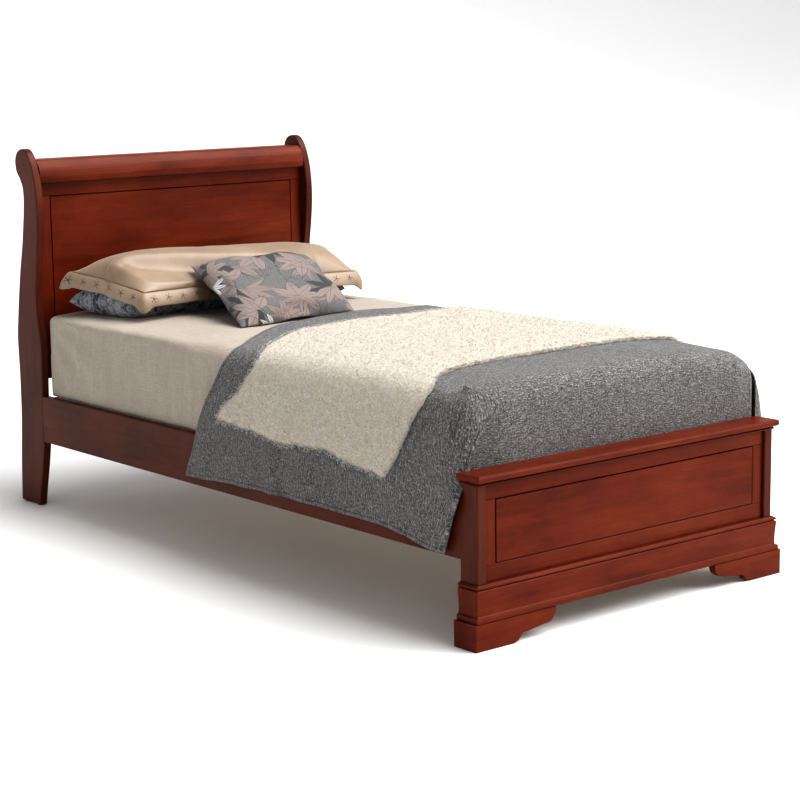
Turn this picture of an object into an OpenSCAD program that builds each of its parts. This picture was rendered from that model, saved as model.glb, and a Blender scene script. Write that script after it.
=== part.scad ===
// Sleigh bed for a single mattress: a scrolled headboard, a low footboard on bracket feet, hook-on
// side rails with slats, and its bedding. Millimetres, +Z up, the headboard at +Y.
// The origin is on the floor, at the middle of the bed's outline.

/* [Overall] */
// Width over the posts and the side rails
frame_w = 1036; // [1036:2:1100]
// Clear length between the foot posts and the head posts
rail_len = 1936; // [1930:2:2000]
// Width over the bracket feet
feet_w = 1080; // [1076:2:1160]

/* [Headboard] */
// Thickness of a head post
head_post_t = 25; // [22:1:30]
// Rounding along the edges of a head post
head_post_round = 4; // [2:0.5:5]
// Thickness of the headboard's frame and panel
head_panel_t = 20; // [18:1:24]
// Height of the underside of the rolled top rail
roll_low = 998; // [990:1:1004]
// Height of the flat top of the rolled top rail
roll_high = 1066; // [1060:1:1072]
// Visible width of the headboard's frame pieces
head_frame_w = 41; // [34:1:60]

/* [Footboard] */
// Overall height of the footboard
foot_h = 416; // [412:1:440]
// Thickness of a foot post, across the bed
foot_post_t = 28; // [24:1:32]
// Depth of a foot post, along the bed
foot_post_d = 60; // [56:1:60]
// Height of the bracket feet
bracket_h = 65; // [60:1:70]
// Depth of a bracket foot, along the bed
bracket_d = 78; // [74:1:80]
// Visible width of the footboard's frame pieces
foot_frame_w = 37; // [30:1:50]

/* [Rails and slats] */
// Thickness of a side rail
rail_t = 22; // [20:1:24]
// Height of the underside of a side rail
rail_low = 207; // [200:1:215]
// Height of the top of a side rail
rail_high = 349; // [340:1:352]
// Number of slats
slat_n = 10; // [8:1:14]
// Width of a slat
slat_w = 70; // [50:1:90]
// Thickness of a slat
slat_t = 18; // [15:1:20]

/* [Bedding] */
// Width of the mattress
mattress_w = 986; // [960:2:986]
// Length of the mattress
mattress_len = 1900; // [1860:5:1900]
// Height of the mattress's top above the floor
mattress_top = 601; // [580:1:606]
// Thickness of the low foundation under the mattress
foundation_h = 98; // [80:1:98]
// Height of the coverlet's hem above the floor
hem_z = 238; // [215:1:300]

/* [Hidden] */

$fn = 48;
eps = 0.01;
sides = [-1, 1];

cherry = [0.42, 0.13, 0.08];
cherry_dark = [0.33, 0.10, 0.07];
pine = [0.80, 0.66, 0.46];
steel = [0.62, 0.63, 0.65];
black_plastic = [0.10, 0.10, 0.10];
linen = [0.78, 0.74, 0.68];
charcoal = [0.36, 0.37, 0.39];
cream = [0.90, 0.86, 0.76];
sateen_tan = [0.68, 0.53, 0.37];
slate = [0.45, 0.47, 0.52];
rose_grey = [0.62, 0.55, 0.54];
ticking = [0.88, 0.87, 0.84];

// Heights and places along the bed, measured from the front of the bracket feet.
half_w = frame_w / 2;
post_front = 17;
post_back = post_front + foot_post_d;
head_front = post_back + rail_len;
post_tail = 156;
glide_h = 3;
cap_front = 1;
cap_back = post_back + 6;
bed_mid = (head_front + post_tail) / 2;
base_top = 155;
apron_top = 143;
moulding_top = 84;
cap_low = 399;
moulding_under_cap = 389;
head_panel_front = head_front + 17;
foot_panel_front = post_front + 9;
foot_panel_t = 18;
ledger_w = 24;
ledger_h = 25;
slat_low = rail_low + ledger_h;
foundation_low = slat_low + slat_t + 2;
mattress_low = foundation_low + foundation_h + 0.5;
mattress_front = cap_back + 22;
sheet_t = 2;
cloth_gap = 0.5;
coverlet_t = 5;
coverlet_low = mattress_top + sheet_t + cloth_gap;
coverlet_x = half_w + 1;
throw_t = 7;
tongue = 7;
tongue_t = 6;
tongue_play = 0.4;
groove_w = 2.5;
dowel_r = 4;
dowel_len = 40;
plate_w = 14;
plate_t = 2;
plate_h = 116;
hook_t = 4;
hook_inset = 8;
hook_slot_depth = 16;
plate_x = half_w - rail_t / 2;
plate_low = rail_low + 13;

// Points that divide each step of a Catmull-Rom curve through a list of points.
function blend_point(a, b, c, d, t) =
    0.5 * (2 * b + (c - a) * t + (2 * a - 5 * b + 4 * c - d) * t * t + (3 * b - a - 3 * c + d) * t * t * t);
function smooth(p, steps = 4) = concat(
    [for (i = [0:len(p) - 2]) for (j = [0:steps - 1])
        blend_point(p[max(i - 1, 0)], p[i], p[i + 1], p[min(i + 2, len(p) - 1)], j / steps)],
    [p[len(p) - 1]]);

// An outline moved inwards by a distance d, each side parallel to itself. It runs clockwise.
function side_normal(p, i) =
    let (v = p[(i + 1) % len(p)] - p[i]) [v[1], -v[0]] / norm(v);
function inset(p, d) = [for (i = [0:len(p) - 1])
    let (a = side_normal(p, (i + len(p) - 1) % len(p)), b = side_normal(p, i))
    p[i] + d * (a + b) / (1 + a * b)];

module at_middle() {
    translate([0, -bed_mid, 0]) children();
}

// Turns an outline in (Y, Z) into a solid from x = 0 to x = width.
module along_x(width) {
    rotate([90, 0, 90]) linear_extrude(width) children();
}

// Turns an outline in (X, Z) into a solid from y = 0 to y = depth.
module along_y(depth) {
    translate([0, depth, 0]) rotate([90, 0, 0]) linear_extrude(depth) children();
}

module bar_x(width, y, z, pts) {
    translate([-width / 2, y, z]) along_x(width) polygon(pts);
}

// Corner points of a rectangle with its four corners cut by c.
function cut_corners(w, h, c) =
    [[c, 0], [w - c, 0], [w, c], [w, h - c], [w - c, h], [c, h], [0, h - c], [0, c]];

// Triangles that fill an outline that runs up one side and down the other: i climbs, j comes down to meet it.
function filled(p, i, j) = j - i < 2 ? [] :
    p[i + 1][1] < p[j - 1][1]
    ? concat([[i, i + 1, j]], filled(p, i + 1, j))
    : concat([[i, j - 1, j]], filled(p, i, j - 1));

// A slab whose outline is in (Y, Z), with rounded edges: one ring of points for each step in x.
module rounded_slab(outline, width, r, steps = 3) {
    n = len(outline);
    ramp = [for (k = [0:steps]) let (a = 90 * k / steps) [r * (1 - cos(a)), r * (1 - sin(a))]];
    rings = concat(
        [for (k = [0:steps]) ramp[k]],
        [for (k = [0:steps]) [width - ramp[steps - k][0], ramp[steps - k][1]]]);
    points = [for (ring = rings) for (p = inset(outline, ring[1])) [ring[0], p[0], p[1]]];
    walls = [for (k = [0:len(rings) - 2]) for (i = [0:n - 1]) let (j = (i + 1) % n)
        [k * n + i, k * n + j, (k + 1) * n + j, (k + 1) * n + i]];
    face = filled(outline, 0, n - 1);
    last = (len(rings) - 1) * n;
    polyhedron(points, concat(
        walls,
        [for (t = face) [t[2], t[1], t[0]]],
        [for (t = face) [for (i = t) last + i]]));
}

// Outline of a head post from behind its rail joint: kicked-back foot, straight joint, S and scroll.
head_outline = concat(
    smooth([[42, glide_h], [32, 55], [17, 115], [4, 175], [0, 200]]),
    smooth([[0, 356], [-4, 440], [-5, 515], [7, 578], [12, 648], [4, 730], [-12, 835], [-17, 915],
        [-11, 985], [1, 1030], [16, 1066], [38, 1091], [64, 1098], [90, 1088], [104, 1062], [99, 1030],
        [80, 1006], [65, 976], [65, 920], [82, 815], [106, 715], [130, 580], [138, 508], [135, 400],
        [138, 260], [149, 131], [post_tail, glide_h]]));

module headboard_post() {
    difference() {
        translate([half_w - head_post_t, head_front, 0])
            rounded_slab(head_outline, head_post_t, head_post_round);
        translate([plate_x - plate_w / 2, head_front - 5, plate_low])
            cube([plate_w, 5 + plate_t, plate_h]);
        translate([plate_x - hook_t, head_front - 1, plate_low + hook_inset])
            cube([2 * hook_t, hook_slot_depth, plate_h - 2 * hook_inset]);
        dowel_holes(1) headboard_dowel_places();
        headboard_screw_place(1) cylinder(h = 2 * plug_depth, r = plug_r, center = true);
        headboard_screw(1, 0.05);
        plate_screw_shapes(1, 0.05);
    }
}

// A screw runs through each post into the end of the top rail, under a plug.
top_rail_screw_z = 1050;

module headboard_screw_place(side) {
    translate([side * half_w, head_front + 52, top_rail_screw_z]) rotate([0, -side * 90, 0]) children();
}

module headboard_screw(side, play) {
    screw_len = 60;
    headboard_screw_place(side) translate([0, 0, plug_depth]) cylinder(h = screw_len, r = 2.5 + play);
}

module headboard_screws() {
    color(steel) at_middle() for (side = sides) headboard_screw(side, 0);
}

// Dowels join each panel rail, the stretcher and the top rail to the posts.
head_dowel_y = head_panel_front + head_panel_t / 2;
foot_dowel_y = foot_panel_front + foot_panel_t / 2;
head_dowels = [[head_dowel_y, 245], [head_dowel_y, 305], [head_dowel_y, 420], [head_dowel_y, 975],
    [head_front + 55, 1030]];
foot_dowels = [[foot_dowel_y, 175], [foot_dowel_y, 370]];
plug_r = 5;
plug_depth = 5;

module headboard_dowel_places() {
    for (p = head_dowels) translate([0, p[0], p[1]]) children();
}

module footboard_dowel_places() {
    for (p = foot_dowels) translate([0, p[0], p[1]]) children();
}

module dowel_hole() {
    rotate([0, 90, 0]) cylinder(h = dowel_len + 1, r = dowel_r + 0.05, center = true);
}

module dowel_holes(side) {
    for (p = head_dowels) translate([side * (half_w - head_post_t), p[0], p[1]]) dowel_hole();
}

module foot_dowel_holes(side) {
    for (p = foot_dowels) translate([side * (half_w - foot_post_t), p[0], p[1]]) dowel_hole();
}

module both_dowel_holes() {
    for (side = sides) dowel_holes(side);
}

module both_foot_dowel_holes() {
    for (side = sides) foot_dowel_holes(side);
}

module headboard_post_left() {
    color(cherry_dark) at_middle() mirror([1, 0, 0]) headboard_post();
}

module headboard_post_right() {
    color(cherry_dark) at_middle() headboard_post();
}

// The rolled top rail: an arc for its front, a flat top, and a hollow curve down its back.
roll_r = 70;
roll_y = head_front + 67;
roll_centre_z = 1012;
head_inner_w = frame_w - 2 * head_post_t;

module headboard_top_rail() {
    low_angle = asin((roll_low - roll_centre_z) / roll_r);
    high_angle = asin((roll_high - 4 - roll_centre_z) / roll_r);
    front = [for (k = [0:8]) let (a = low_angle + (high_angle - low_angle) * k / 8)
        [roll_y - roll_r * cos(a), roll_centre_z + roll_r * sin(a)]];
    back = smooth([[roll_y + 14, roll_high], [roll_y + 24, roll_high - 5], [roll_y + 27, roll_high - 18],
        [roll_y + 18, roll_high - 42], [roll_y + 4, roll_low + 4], [roll_y - 8, roll_low]]);
    color(cherry) at_middle() difference() {
        translate([-head_inner_w / 2, 0, 0]) along_x(head_inner_w)
            polygon(concat(front, [[roll_y - roll_r * cos(high_angle) + 5, roll_high]], back));
        both_dowel_holes();
        for (side = sides) headboard_screw(side, 0.05);
    }
}

// Frame-and-panel work: rails and stiles with a slot along the inner edge, and a tongued panel.
module slotted_rail(width, y, t, z, h, slot_up) {
    slot_z = slot_up ? h - tongue : -1;
    chamfer = 1.5;
    top_cut = slot_up ? chamfer : 0;
    low_cut = slot_up ? 0 : chamfer;
    difference() {
        bar_x(width, y, z, [[low_cut, 0], [t, 0], [t, h], [top_cut, h], [0, h - top_cut], [0, low_cut]]);
        translate([-width / 2 - 1, y + (t - tongue_t) / 2 - tongue_play / 2, z + slot_z])
            cube([width + 2, tongue_t + tongue_play, tongue + 1]);
    }
}

module slotted_stile(side, outer_x, w, y, t, z, h) {
    chamfer = 1.5;
    x0 = side < 0 ? -outer_x : outer_x - w;
    pts = side < 0
        ? [[0, 0], [w - chamfer, 0], [w, chamfer], [w, t], [0, t]]
        : [[chamfer, 0], [w, 0], [w, t], [0, t], [0, chamfer]];
    slot_x = side < 0 ? w - tongue : -1;
    difference() {
        translate([x0, y, z]) linear_extrude(h) polygon(pts);
        translate([x0 + slot_x, y + (t - tongue_t) / 2 - tongue_play / 2, z - 1])
            cube([tongue + 1, tongue_t + tongue_play, h + 2]);
    }
}

module tongued_panel(w, y, t, z, h) {
    lip = tongue - 1;
    translate([-w / 2 + groove_w, y, z + groove_w]) cube([w - 2 * groove_w, t, h - 2 * groove_w]);
    translate([-w / 2 - lip, y + (t - tongue_t) / 2, z - lip]) cube([w + 2 * lip, tongue_t, h + 2 * lip]);
}

head_frame_low = 399;
head_frame_high = roll_low - 2;
head_panel_low = head_frame_low + head_frame_w;
head_panel_high = head_frame_high - head_frame_w;

module headboard_upper_frame_rail() {
    color(cherry) at_middle() difference() {
        slotted_rail(head_inner_w, head_panel_front, head_panel_t, head_panel_high, head_frame_w, false);
        both_dowel_holes();
    }
}

module headboard_lower_frame_rail() {
    color(cherry) at_middle() difference() {
        slotted_rail(head_inner_w, head_panel_front, head_panel_t, head_frame_low, head_frame_w, true);
        both_dowel_holes();
    }
}

module headboard_stile(side) {
    color(cherry) at_middle() slotted_stile(side, head_inner_w / 2, head_frame_w, head_panel_front,
        head_panel_t, head_panel_low, head_panel_high - head_panel_low);
}

module headboard_stile_left() {
    headboard_stile(-1);
}

module headboard_stile_right() {
    headboard_stile(1);
}

module headboard_panel() {
    color(cherry) at_middle() tongued_panel(head_inner_w - 2 * head_frame_w, head_panel_front,
        head_panel_t, head_panel_low, head_panel_high - head_panel_low);
}

module headboard_stretcher() {
    low = 215;
    high = 335;
    color(cherry_dark) at_middle() difference() {
        bar_x(head_inner_w, head_panel_front, low, cut_corners(head_panel_t, high - low, 2));
        both_dowel_holes();
    }
}

module headboard_dowels() {
    color(pine) at_middle() for (side = sides) headboard_dowel_places()
        translate([side * (half_w - head_post_t), 0, 0]) rotate([0, 90, 0])
            cylinder(h = dowel_len, r = dowel_r, center = true);
}

module headboard_screw_plugs() {
    dome = 1.2;
    color(cherry) at_middle() for (side = sides) headboard_screw_place(side) {
        cylinder(h = plug_depth, r = plug_r - 0.05);
        translate([0, 0, -dome]) cylinder(h = dome, r1 = plug_r - 1.5, r2 = plug_r - 0.05);
    }
}

// Two nail-on glides under each head post: a wide base that the post stands on.
module headboard_glides() {
    glide_r = 9;
    color(black_plastic) at_middle() for (side = sides) for (y = [62, 134])
        translate([side * (half_w - head_post_t / 2), head_front + y, 0]) cylinder(h = glide_h, r = glide_r);
}

module footboard_post(side) {
    x = side < 0 ? -half_w : half_w - foot_post_t;
    c = 2;
    difference() {
        translate([x, post_front, bracket_h]) linear_extrude(moulding_under_cap + 10 - bracket_h)
            polygon([[c, 0], [foot_post_t - c, 0], [foot_post_t, c], [foot_post_t, foot_post_d],
                [0, foot_post_d], [0, c]]);
        translate([side * plate_x - plate_w / 2, post_back - plate_t, plate_low])
            cube([plate_w, plate_t + 1, plate_h]);
        translate([side * plate_x - hook_t, post_back - hook_slot_depth, plate_low + hook_inset])
            cube([2 * hook_t, hook_slot_depth + 1, plate_h - 2 * hook_inset]);
        foot_dowel_holes(side);
        plate_screw_shapes(side, 0.05);
    }
}

module footboard_post_left() {
    color(cherry_dark) at_middle() footboard_post(-1);
}

module footboard_post_right() {
    color(cherry_dark) at_middle() footboard_post(1);
}

foot_inner_w = frame_w - 2 * foot_post_t;
foot_frame_low = base_top;
foot_frame_high = cap_low;
foot_panel_low = foot_frame_low + foot_frame_w + 4;
foot_panel_high = moulding_under_cap - foot_frame_w;

// Each frame rail has a lip that fills the recess behind the moulding in front of it.
module footboard_upper_frame_rail() {
    color(cherry) at_middle() difference() {
        union() {
            slotted_rail(foot_inner_w, foot_panel_front, foot_panel_t, foot_panel_high,
                foot_frame_high - foot_panel_high, false);
            translate([-foot_inner_w / 2, post_front, moulding_under_cap])
                cube([foot_inner_w, foot_panel_front - post_front + 1, cap_low - moulding_under_cap]);
        }
        both_foot_dowel_holes();
    }
}

module footboard_lower_frame_rail() {
    low = bracket_h + 1;
    color(cherry) at_middle() difference() {
        union() {
            slotted_rail(foot_inner_w, foot_panel_front, foot_panel_t, low, foot_panel_low - low, true);
            translate([-foot_inner_w / 2, post_front, low])
                cube([foot_inner_w, foot_panel_front - post_front + 1, base_top - low]);
        }
        both_foot_dowel_holes();
    }
}

module footboard_stile(side) {
    color(cherry) at_middle() slotted_stile(side, foot_inner_w / 2, foot_frame_w, foot_panel_front,
        foot_panel_t, foot_panel_low, foot_panel_high - foot_panel_low);
}

module footboard_stile_left() {
    footboard_stile(-1);
}

module footboard_stile_right() {
    footboard_stile(1);
}

module footboard_panel() {
    color(cherry) at_middle() tongued_panel(foot_inner_w - 2 * foot_frame_w, foot_panel_front,
        foot_panel_t, foot_panel_low, foot_panel_high - foot_panel_low);
}

// A board's section with softened corners, from 0 to w and from 0 to h.
function soft_section(w, h) = [[5, 0], [w - 5, 0], [w - 1.5, 1.5], [w, 5], [w, h - 5], [w - 1.5, h - 1.5],
    [w - 5, h], [5, h], [1.5, h - 1.5], [0, h - 5], [0, 5], [1.5, 1.5]];

module footboard_cap() {
    overhang = 8;
    depth = cap_back - cap_front;
    cap_w = frame_w + 2 * overhang;
    h = foot_h - cap_low;
    color(cherry) at_middle() intersection() {
        translate([-cap_w / 2, cap_front, cap_low]) along_x(cap_w) polygon(soft_section(depth, h));
        translate([-cap_w / 2, cap_front - 1, cap_low]) along_y(depth + 2) polygon(soft_section(cap_w, h));
    }
}

// A moulding's section is drawn in (distance out from the post's face, Z).
// One straight run along the front and one return on each side, cut at 45 degrees and glued.
module mitred_moulding(section, back) {
    reach = 30;
    intersection() {
        translate([-half_w - reach, 0, 0]) along_x(frame_w + 2 * reach)
            polygon([for (p = section) [post_front - p[0], p[1]]]);
        linear_extrude(foot_h) polygon([[-half_w - reach, post_front - reach],
            [half_w + reach, post_front - reach], [half_w - reach, post_front + reach],
            [-half_w + reach, post_front + reach]]);
    }
    for (side = sides) intersection() {
        along_y(back) polygon([for (p = section) [side * (half_w + p[0]), p[1]]]);
        linear_extrude(foot_h) polygon([[side * (half_w + reach), post_front - reach],
            [side * (half_w + reach), back], [side * (half_w - reach), back],
            [side * (half_w - reach), post_front + reach]]);
    }
}

// Half-round points from one height to another, standing out from a depth.
function bead(low, high, out, n = 6) = [for (k = [0:n]) let (a = -90 + 180 * k / n)
    [out + (high - low) / 2 * cos(a), (low + high) / 2 + (high - low) / 2 * sin(a)]];

module footboard_cap_moulding() {
    low = moulding_under_cap;
    color(cherry) at_middle()
        mitred_moulding(concat([[0, low]], bead(low + 0.5, low + 5.5, 1), [[1.5, low + 6],
            [3, low + 8], [5, cap_low], [0, cap_low]]), post_back);
}

module footboard_base_bead() {
    low = apron_top;
    color(cherry) at_middle()
        mitred_moulding(concat([[0, low], [6, low]], bead(low + 2, base_top - 2, 6), [[5, base_top - 1],
            [4, base_top], [0, base_top]]), post_back);
}

module footboard_apron() {
    low = moulding_top;
    high = apron_top;
    color(cherry) at_middle()
        mitred_moulding(concat([[0, low], [7, low]],
            [for (k = [0:6]) [7.5 + 3 * (1 - cos(90 * k / 6)), low + (high - 4 - low) * k / 6]],
            [[10, high - 1.5], [8.5, high], [0, high]]), post_back);
}

module footboard_base_moulding() {
    low = bracket_h;
    high = moulding_top;
    color(cherry) at_middle()
        mitred_moulding(concat([[0, low], [13.7, low], [14.5, low + 1], [14.5, high - 8], [13.7, high - 6]],
            [for (k = [0:5]) let (a = 90 * k / 5) [13 - 5.5 * sin(a), high - 6 + 6 * (1 - cos(a))]],
            [[0, high]]), post_back);
}

// The bracket foot's front board ends in an ogee: a flat sole, a step, a long hollow and a round.
bracket_board = 21;

function bracket_edge() = concat([[0, 0], [120, 0]],
    smooth([[122, 1], [131, 4], [139, 10], [145, 18], [154, 21.5]], 3),
    smooth([[164, 22], [190, 25.5], [226, 30]], 3),
    [for (k = [1:6]) let (a = 90 * k / 6) [226 + 32 * sin(a), 30 + (bracket_h - 30) * (1 - cos(a))]],
    [[0, bracket_h]]);

module bracket_foot(side) {
    board = bracket_board;
    x = side * feet_w / 2;
    c = 1.5;
    at_middle() {
        intersection() {
            translate([x, 0, 0]) along_y(board) polygon([for (p = bracket_edge()) [-side * p[0], p[1]]]);
            linear_extrude(bracket_h) polygon([[x, c], [x - side * c, 0], [x - side * 300, 0],
                [x - side * 300, board], [x, board]]);
        }
        translate([side > 0 ? x - board : x, board, 0]) cube([board, bracket_d - board, bracket_h]);
    }
}

module bracket_foot_left() {
    color(cherry) bracket_foot(-1);
}

module bracket_foot_right() {
    color(cherry) bracket_foot(1);
}

// A glued block fills the corner behind each bracket foot, under the post.
block_w = 44;
block_glide_y = 46;
glide_stem = 15;
glide_stem_r = 3;

module corner_block(side) {
    x = side * (feet_w / 2 - bracket_board) - (side > 0 ? block_w : 0);
    color(pine) at_middle() difference() {
        translate([x, bracket_board, glide_h]) cube([block_w, 50, bracket_h - glide_h]);
        translate([x + block_w / 2, block_glide_y, glide_h - 1])
            cylinder(h = glide_stem + 5, r = glide_stem_r + 0.05);
    }
}

module corner_block_left() {
    corner_block(-1);
}

module corner_block_right() {
    corner_block(1);
}

module footboard_dowels() {
    color(pine) at_middle() for (side = sides) footboard_dowel_places()
        translate([side * (half_w - foot_post_t), 0, 0]) rotate([0, 90, 0])
            cylinder(h = dowel_len, r = dowel_r, center = true);
}

// Glides under the corner blocks, on a stem that is pushed into the block.
module footboard_glides() {
    color(black_plastic) at_middle() for (side = sides)
        translate([side * (feet_w / 2 - bracket_board - block_w / 2), block_glide_y, 0]) {
            cylinder(h = glide_h, r = 12);
            translate([0, 0, glide_h - eps]) cylinder(h = glide_stem, r = glide_stem_r);
        }
}

// A side rail: its section has eased edges, and each end has a recess for a hook plate.
module side_rail(side) {
    h = rail_high - rail_low;
    x = side < 0 ? -half_w : half_w - rail_t;
    difference() {
        translate([x, post_back, rail_low]) along_y(rail_len) polygon(cut_corners(rail_t, h, 1.5));
        for (y = [post_back - 1, head_front - plate_t])
            translate([side * plate_x - plate_w / 2, y, plate_low]) cube([plate_w, plate_t + 1, plate_h]);
        for (y = ledger_screw_y) ledger_screw_shape(side, y, 0.05);
        plate_screw_shapes(side, 0.05);
    }
}

ledger_inset = 60;
ledger_len = rail_len - 2 * ledger_inset;
ledger_screw_y = [for (k = [0:5]) post_back + ledger_inset + 60 + k * (ledger_len - 120) / 5];

module ledger_screw_shape(side, y, play) {
    translate([side * (half_w - rail_t - ledger_w), y, rail_low + ledger_h / 2]) rotate([0, side * 90, 0]) {
        translate([0, 0, -eps]) cylinder(h = 3 + eps, r1 = 4 + play, r2 = 2 + play);
        cylinder(h = ledger_w + 14, r = 2 + play);
    }
}

module side_rail_left() {
    color(cherry) at_middle() side_rail(-1);
}

module side_rail_right() {
    color(cherry) at_middle() side_rail(1);
}

module ledger(side) {
    x = side < 0 ? -half_w + rail_t : half_w - rail_t - ledger_w;
    color(pine) at_middle() difference() {
        translate([x, post_back + ledger_inset, rail_low]) cube([ledger_w, ledger_len, ledger_h]);
        for (y = ledger_screw_y) ledger_screw_shape(side, y, 0.05);
    }
}

module ledger_left() {
    ledger(-1);
}

module ledger_right() {
    ledger(1);
}

module ledger_screws() {
    color(steel) at_middle() for (side = sides) for (y = ledger_screw_y) ledger_screw_shape(side, y, 0);
}

// Hook plate in a rail's end: a flat plate with two hooks that drop behind the slot plate.
hook_h = 22;
hook_at = [22, plate_h - 22 - hook_h];
hook_neck_low = 6;

module hook_plate(dir) {
    reach = 12;
    neck = plate_t + 0.6;
    translate([-plate_w / 2, dir > 0 ? -plate_t : 0, 0]) difference() {
        cube([plate_w, plate_t, plate_h]);
        for (z = plate_screw_z) translate([plate_w / 2, -1, z]) rotate([-90, 0, 0])
            cylinder(h = plate_t + 2, r = plate_screw_r + 0.05);
    }
    for (z = hook_at) translate([-hook_t / 2, 0, z]) rotate([90, 0, 90])
        linear_extrude(hook_t) polygon([[0, hook_neck_low], [dir * neck, hook_neck_low], [dir * neck, 0],
            [dir * reach, 0], [dir * reach, hook_h - 4], [dir * (reach - 4), hook_h], [0, hook_h]]);
}

module rail_hook_plates() {
    color(steel) at_middle() for (side = sides) {
        translate([side * plate_x, head_front, plate_low]) hook_plate(1);
        translate([side * plate_x, post_back, plate_low]) hook_plate(-1);
    }
}

// Slot plate let into a post, with one window for each hook.
module slot_plate(dir) {
    window_h = 24;
    play = 0.4;
    translate([-plate_w / 2, dir > 0 ? 0 : -plate_t, 0]) difference() {
        cube([plate_w, plate_t, plate_h]);
        for (z = hook_at) translate([(plate_w - hook_t) / 2 - play, -1, z + hook_neck_low - 0.1])
            cube([hook_t + 2 * play, plate_t + 2, window_h]);
        for (z = plate_screw_z) translate([plate_w / 2, -1, z]) rotate([-90, 0, 0])
            cylinder(h = plate_t + 2, r = plate_screw_r + 0.05);
    }
}

module post_slot_plates() {
    color(steel) at_middle() for (side = sides) {
        translate([side * plate_x, head_front, plate_low]) slot_plate(1);
        translate([side * plate_x, post_back, plate_low]) slot_plate(-1);
    }
}

// Screws that hold each plate: two per plate, driven away from the joint.
plate_screw_z = [4, plate_h - 4];
plate_screw_r = 1.8;

module plate_screw_shapes(side, play) {
    screw_len = 14;
    for (y = [head_front, post_back]) for (z = plate_screw_z) for (dir = [-1, 1])
        translate([side * plate_x, y + dir * 0.1, plate_low + z]) rotate([-dir * 90, 0, 0])
            cylinder(h = screw_len, r = plate_screw_r + play);
}

module plate_screws() {
    color(steel) at_middle() for (side = sides) plate_screw_shapes(side, 0);
}

slat_len = frame_w - 2 * rail_t - 6;
slat_pitch = (ledger_len - slat_w - 40) / (slat_n - 1);

function slat_y(k) = post_back + ledger_inset + 20 + k * slat_pitch;

module slats() {
    color(pine) at_middle() for (k = [0:slat_n - 1]) translate([-slat_len / 2, slat_y(k), slat_low])
        along_x(slat_len) polygon(cut_corners(slat_w, slat_t, 2));
}

module slat_straps() {
    strap_w = 25;
    strap_t = 1.5;
    color(charcoal) at_middle() for (side = sides)
        translate([side * 300 - strap_w / 2, slat_y(0) + 5, slat_low + slat_t])
            cube([strap_w, slat_y(slat_n - 1) - slat_y(0) + slat_w - 10, strap_t]);
}

// A block with rounded upright corners, lying along the bed.
module soft_block(w, y, len, low, high, r) {
    translate([0, y, low]) linear_extrude(high - low) rounded_plan(w, len, r);
}

module rounded_plan(w, len, r) {
    n = 8;
    corners = [[w / 2 - r, len - r, 0], [-w / 2 + r, len - r, 90], [-w / 2 + r, r, 180], [w / 2 - r, r, 270]];
    polygon([for (c = corners) for (k = [0:n]) let (a = c[2] + 90 * k / n)
        [c[0] + r * cos(a), c[1] + r * sin(a)]]);
}

module foundation() {
    color(ticking) at_middle()
        soft_block(mattress_w - 6, mattress_front + 2, mattress_len - 10, foundation_low,
            foundation_low + foundation_h, 30);
}

module mattress() {
    color(ticking) at_middle()
        soft_block(mattress_w, mattress_front, mattress_len, mattress_low, mattress_top, 40);
}

module fitted_sheet() {
    gap = 0.2;
    skirt_low = mattress_low + 6;
    color(linen) at_middle() difference() {
        soft_block(mattress_w + 2 * sheet_t, mattress_front - sheet_t, mattress_len + 2 * sheet_t,
            skirt_low, mattress_top + sheet_t, 40 + sheet_t);
        soft_block(mattress_w + 2 * gap, mattress_front - gap, mattress_len + 2 * gap,
            skirt_low - 1, mattress_top + gap, 40 + gap);
    }
}

// The coverlet's top lies aslant at its head end; a drop hangs outside each rail, and its foot end
// is tucked down between the mattress and the footboard.
coverlet_foot = cap_back + 4;
coverlet_head = 1345;
coverlet_head_left = 1010;
drop_start = 105;
tuck_half_w = 480;
tuck_low = 385;

module coverlet() {
    x = coverlet_x + coverlet_t;
    top = coverlet_low + coverlet_t;
    color(charcoal) at_middle() {
        translate([0, 0, coverlet_low]) linear_extrude(coverlet_t)
            polygon([[-x, drop_start], [-tuck_half_w, coverlet_foot], [tuck_half_w, coverlet_foot],
                [x, drop_start], [x, coverlet_head], [110, coverlet_head], [-173, 1272],
                [-x, coverlet_head_left]]);
        translate([-x, 0, 0]) along_x(coverlet_t)
            polygon([[drop_start, top], [110, 300], [160, hem_z - 24], [660, hem_z], [1240, hem_z - 10],
                [1150, 390], [1075, 548], [coverlet_head_left, top]]);
        translate([coverlet_x, 0, 0]) along_x(coverlet_t)
            polygon([[drop_start, top], [110, 300], [160, hem_z - 24], [660, hem_z], [1390, hem_z],
                [coverlet_head, top]]);
        translate([-tuck_half_w, coverlet_foot, tuck_low])
            cube([2 * tuck_half_w, coverlet_t, top - tuck_low]);
    }
}

// The throw lies across the coverlet and hangs over both sides, further on the left.
module throw_blanket() {
    low = coverlet_low + coverlet_t + cloth_gap;
    top = low + throw_t;
    x_in = coverlet_x + coverlet_t + cloth_gap;
    x_out = x_in + throw_t;
    color(cream) at_middle() {
        translate([0, 0, low]) linear_extrude(throw_t)
            polygon([[-x_out, 165], [-377, 273], [-224, 322], [134, 336], [x_out, 320], [x_out, 1130],
                [8, 1141], [-236, 1091], [-439, 950], [-x_out, 880]]);
        translate([-x_out, 0, 0]) along_x(throw_t)
            polygon([[165, top], [218, 556], [278, 456], [330, 372], [560, 392], [788, 383], [1044, 411],
                [885, 597], [880, top]]);
        translate([x_in, 0, 0]) along_x(throw_t)
            polygon([[320, top], [330, 480], [1120, 490], [1130, top]]);
    }
}

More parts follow.
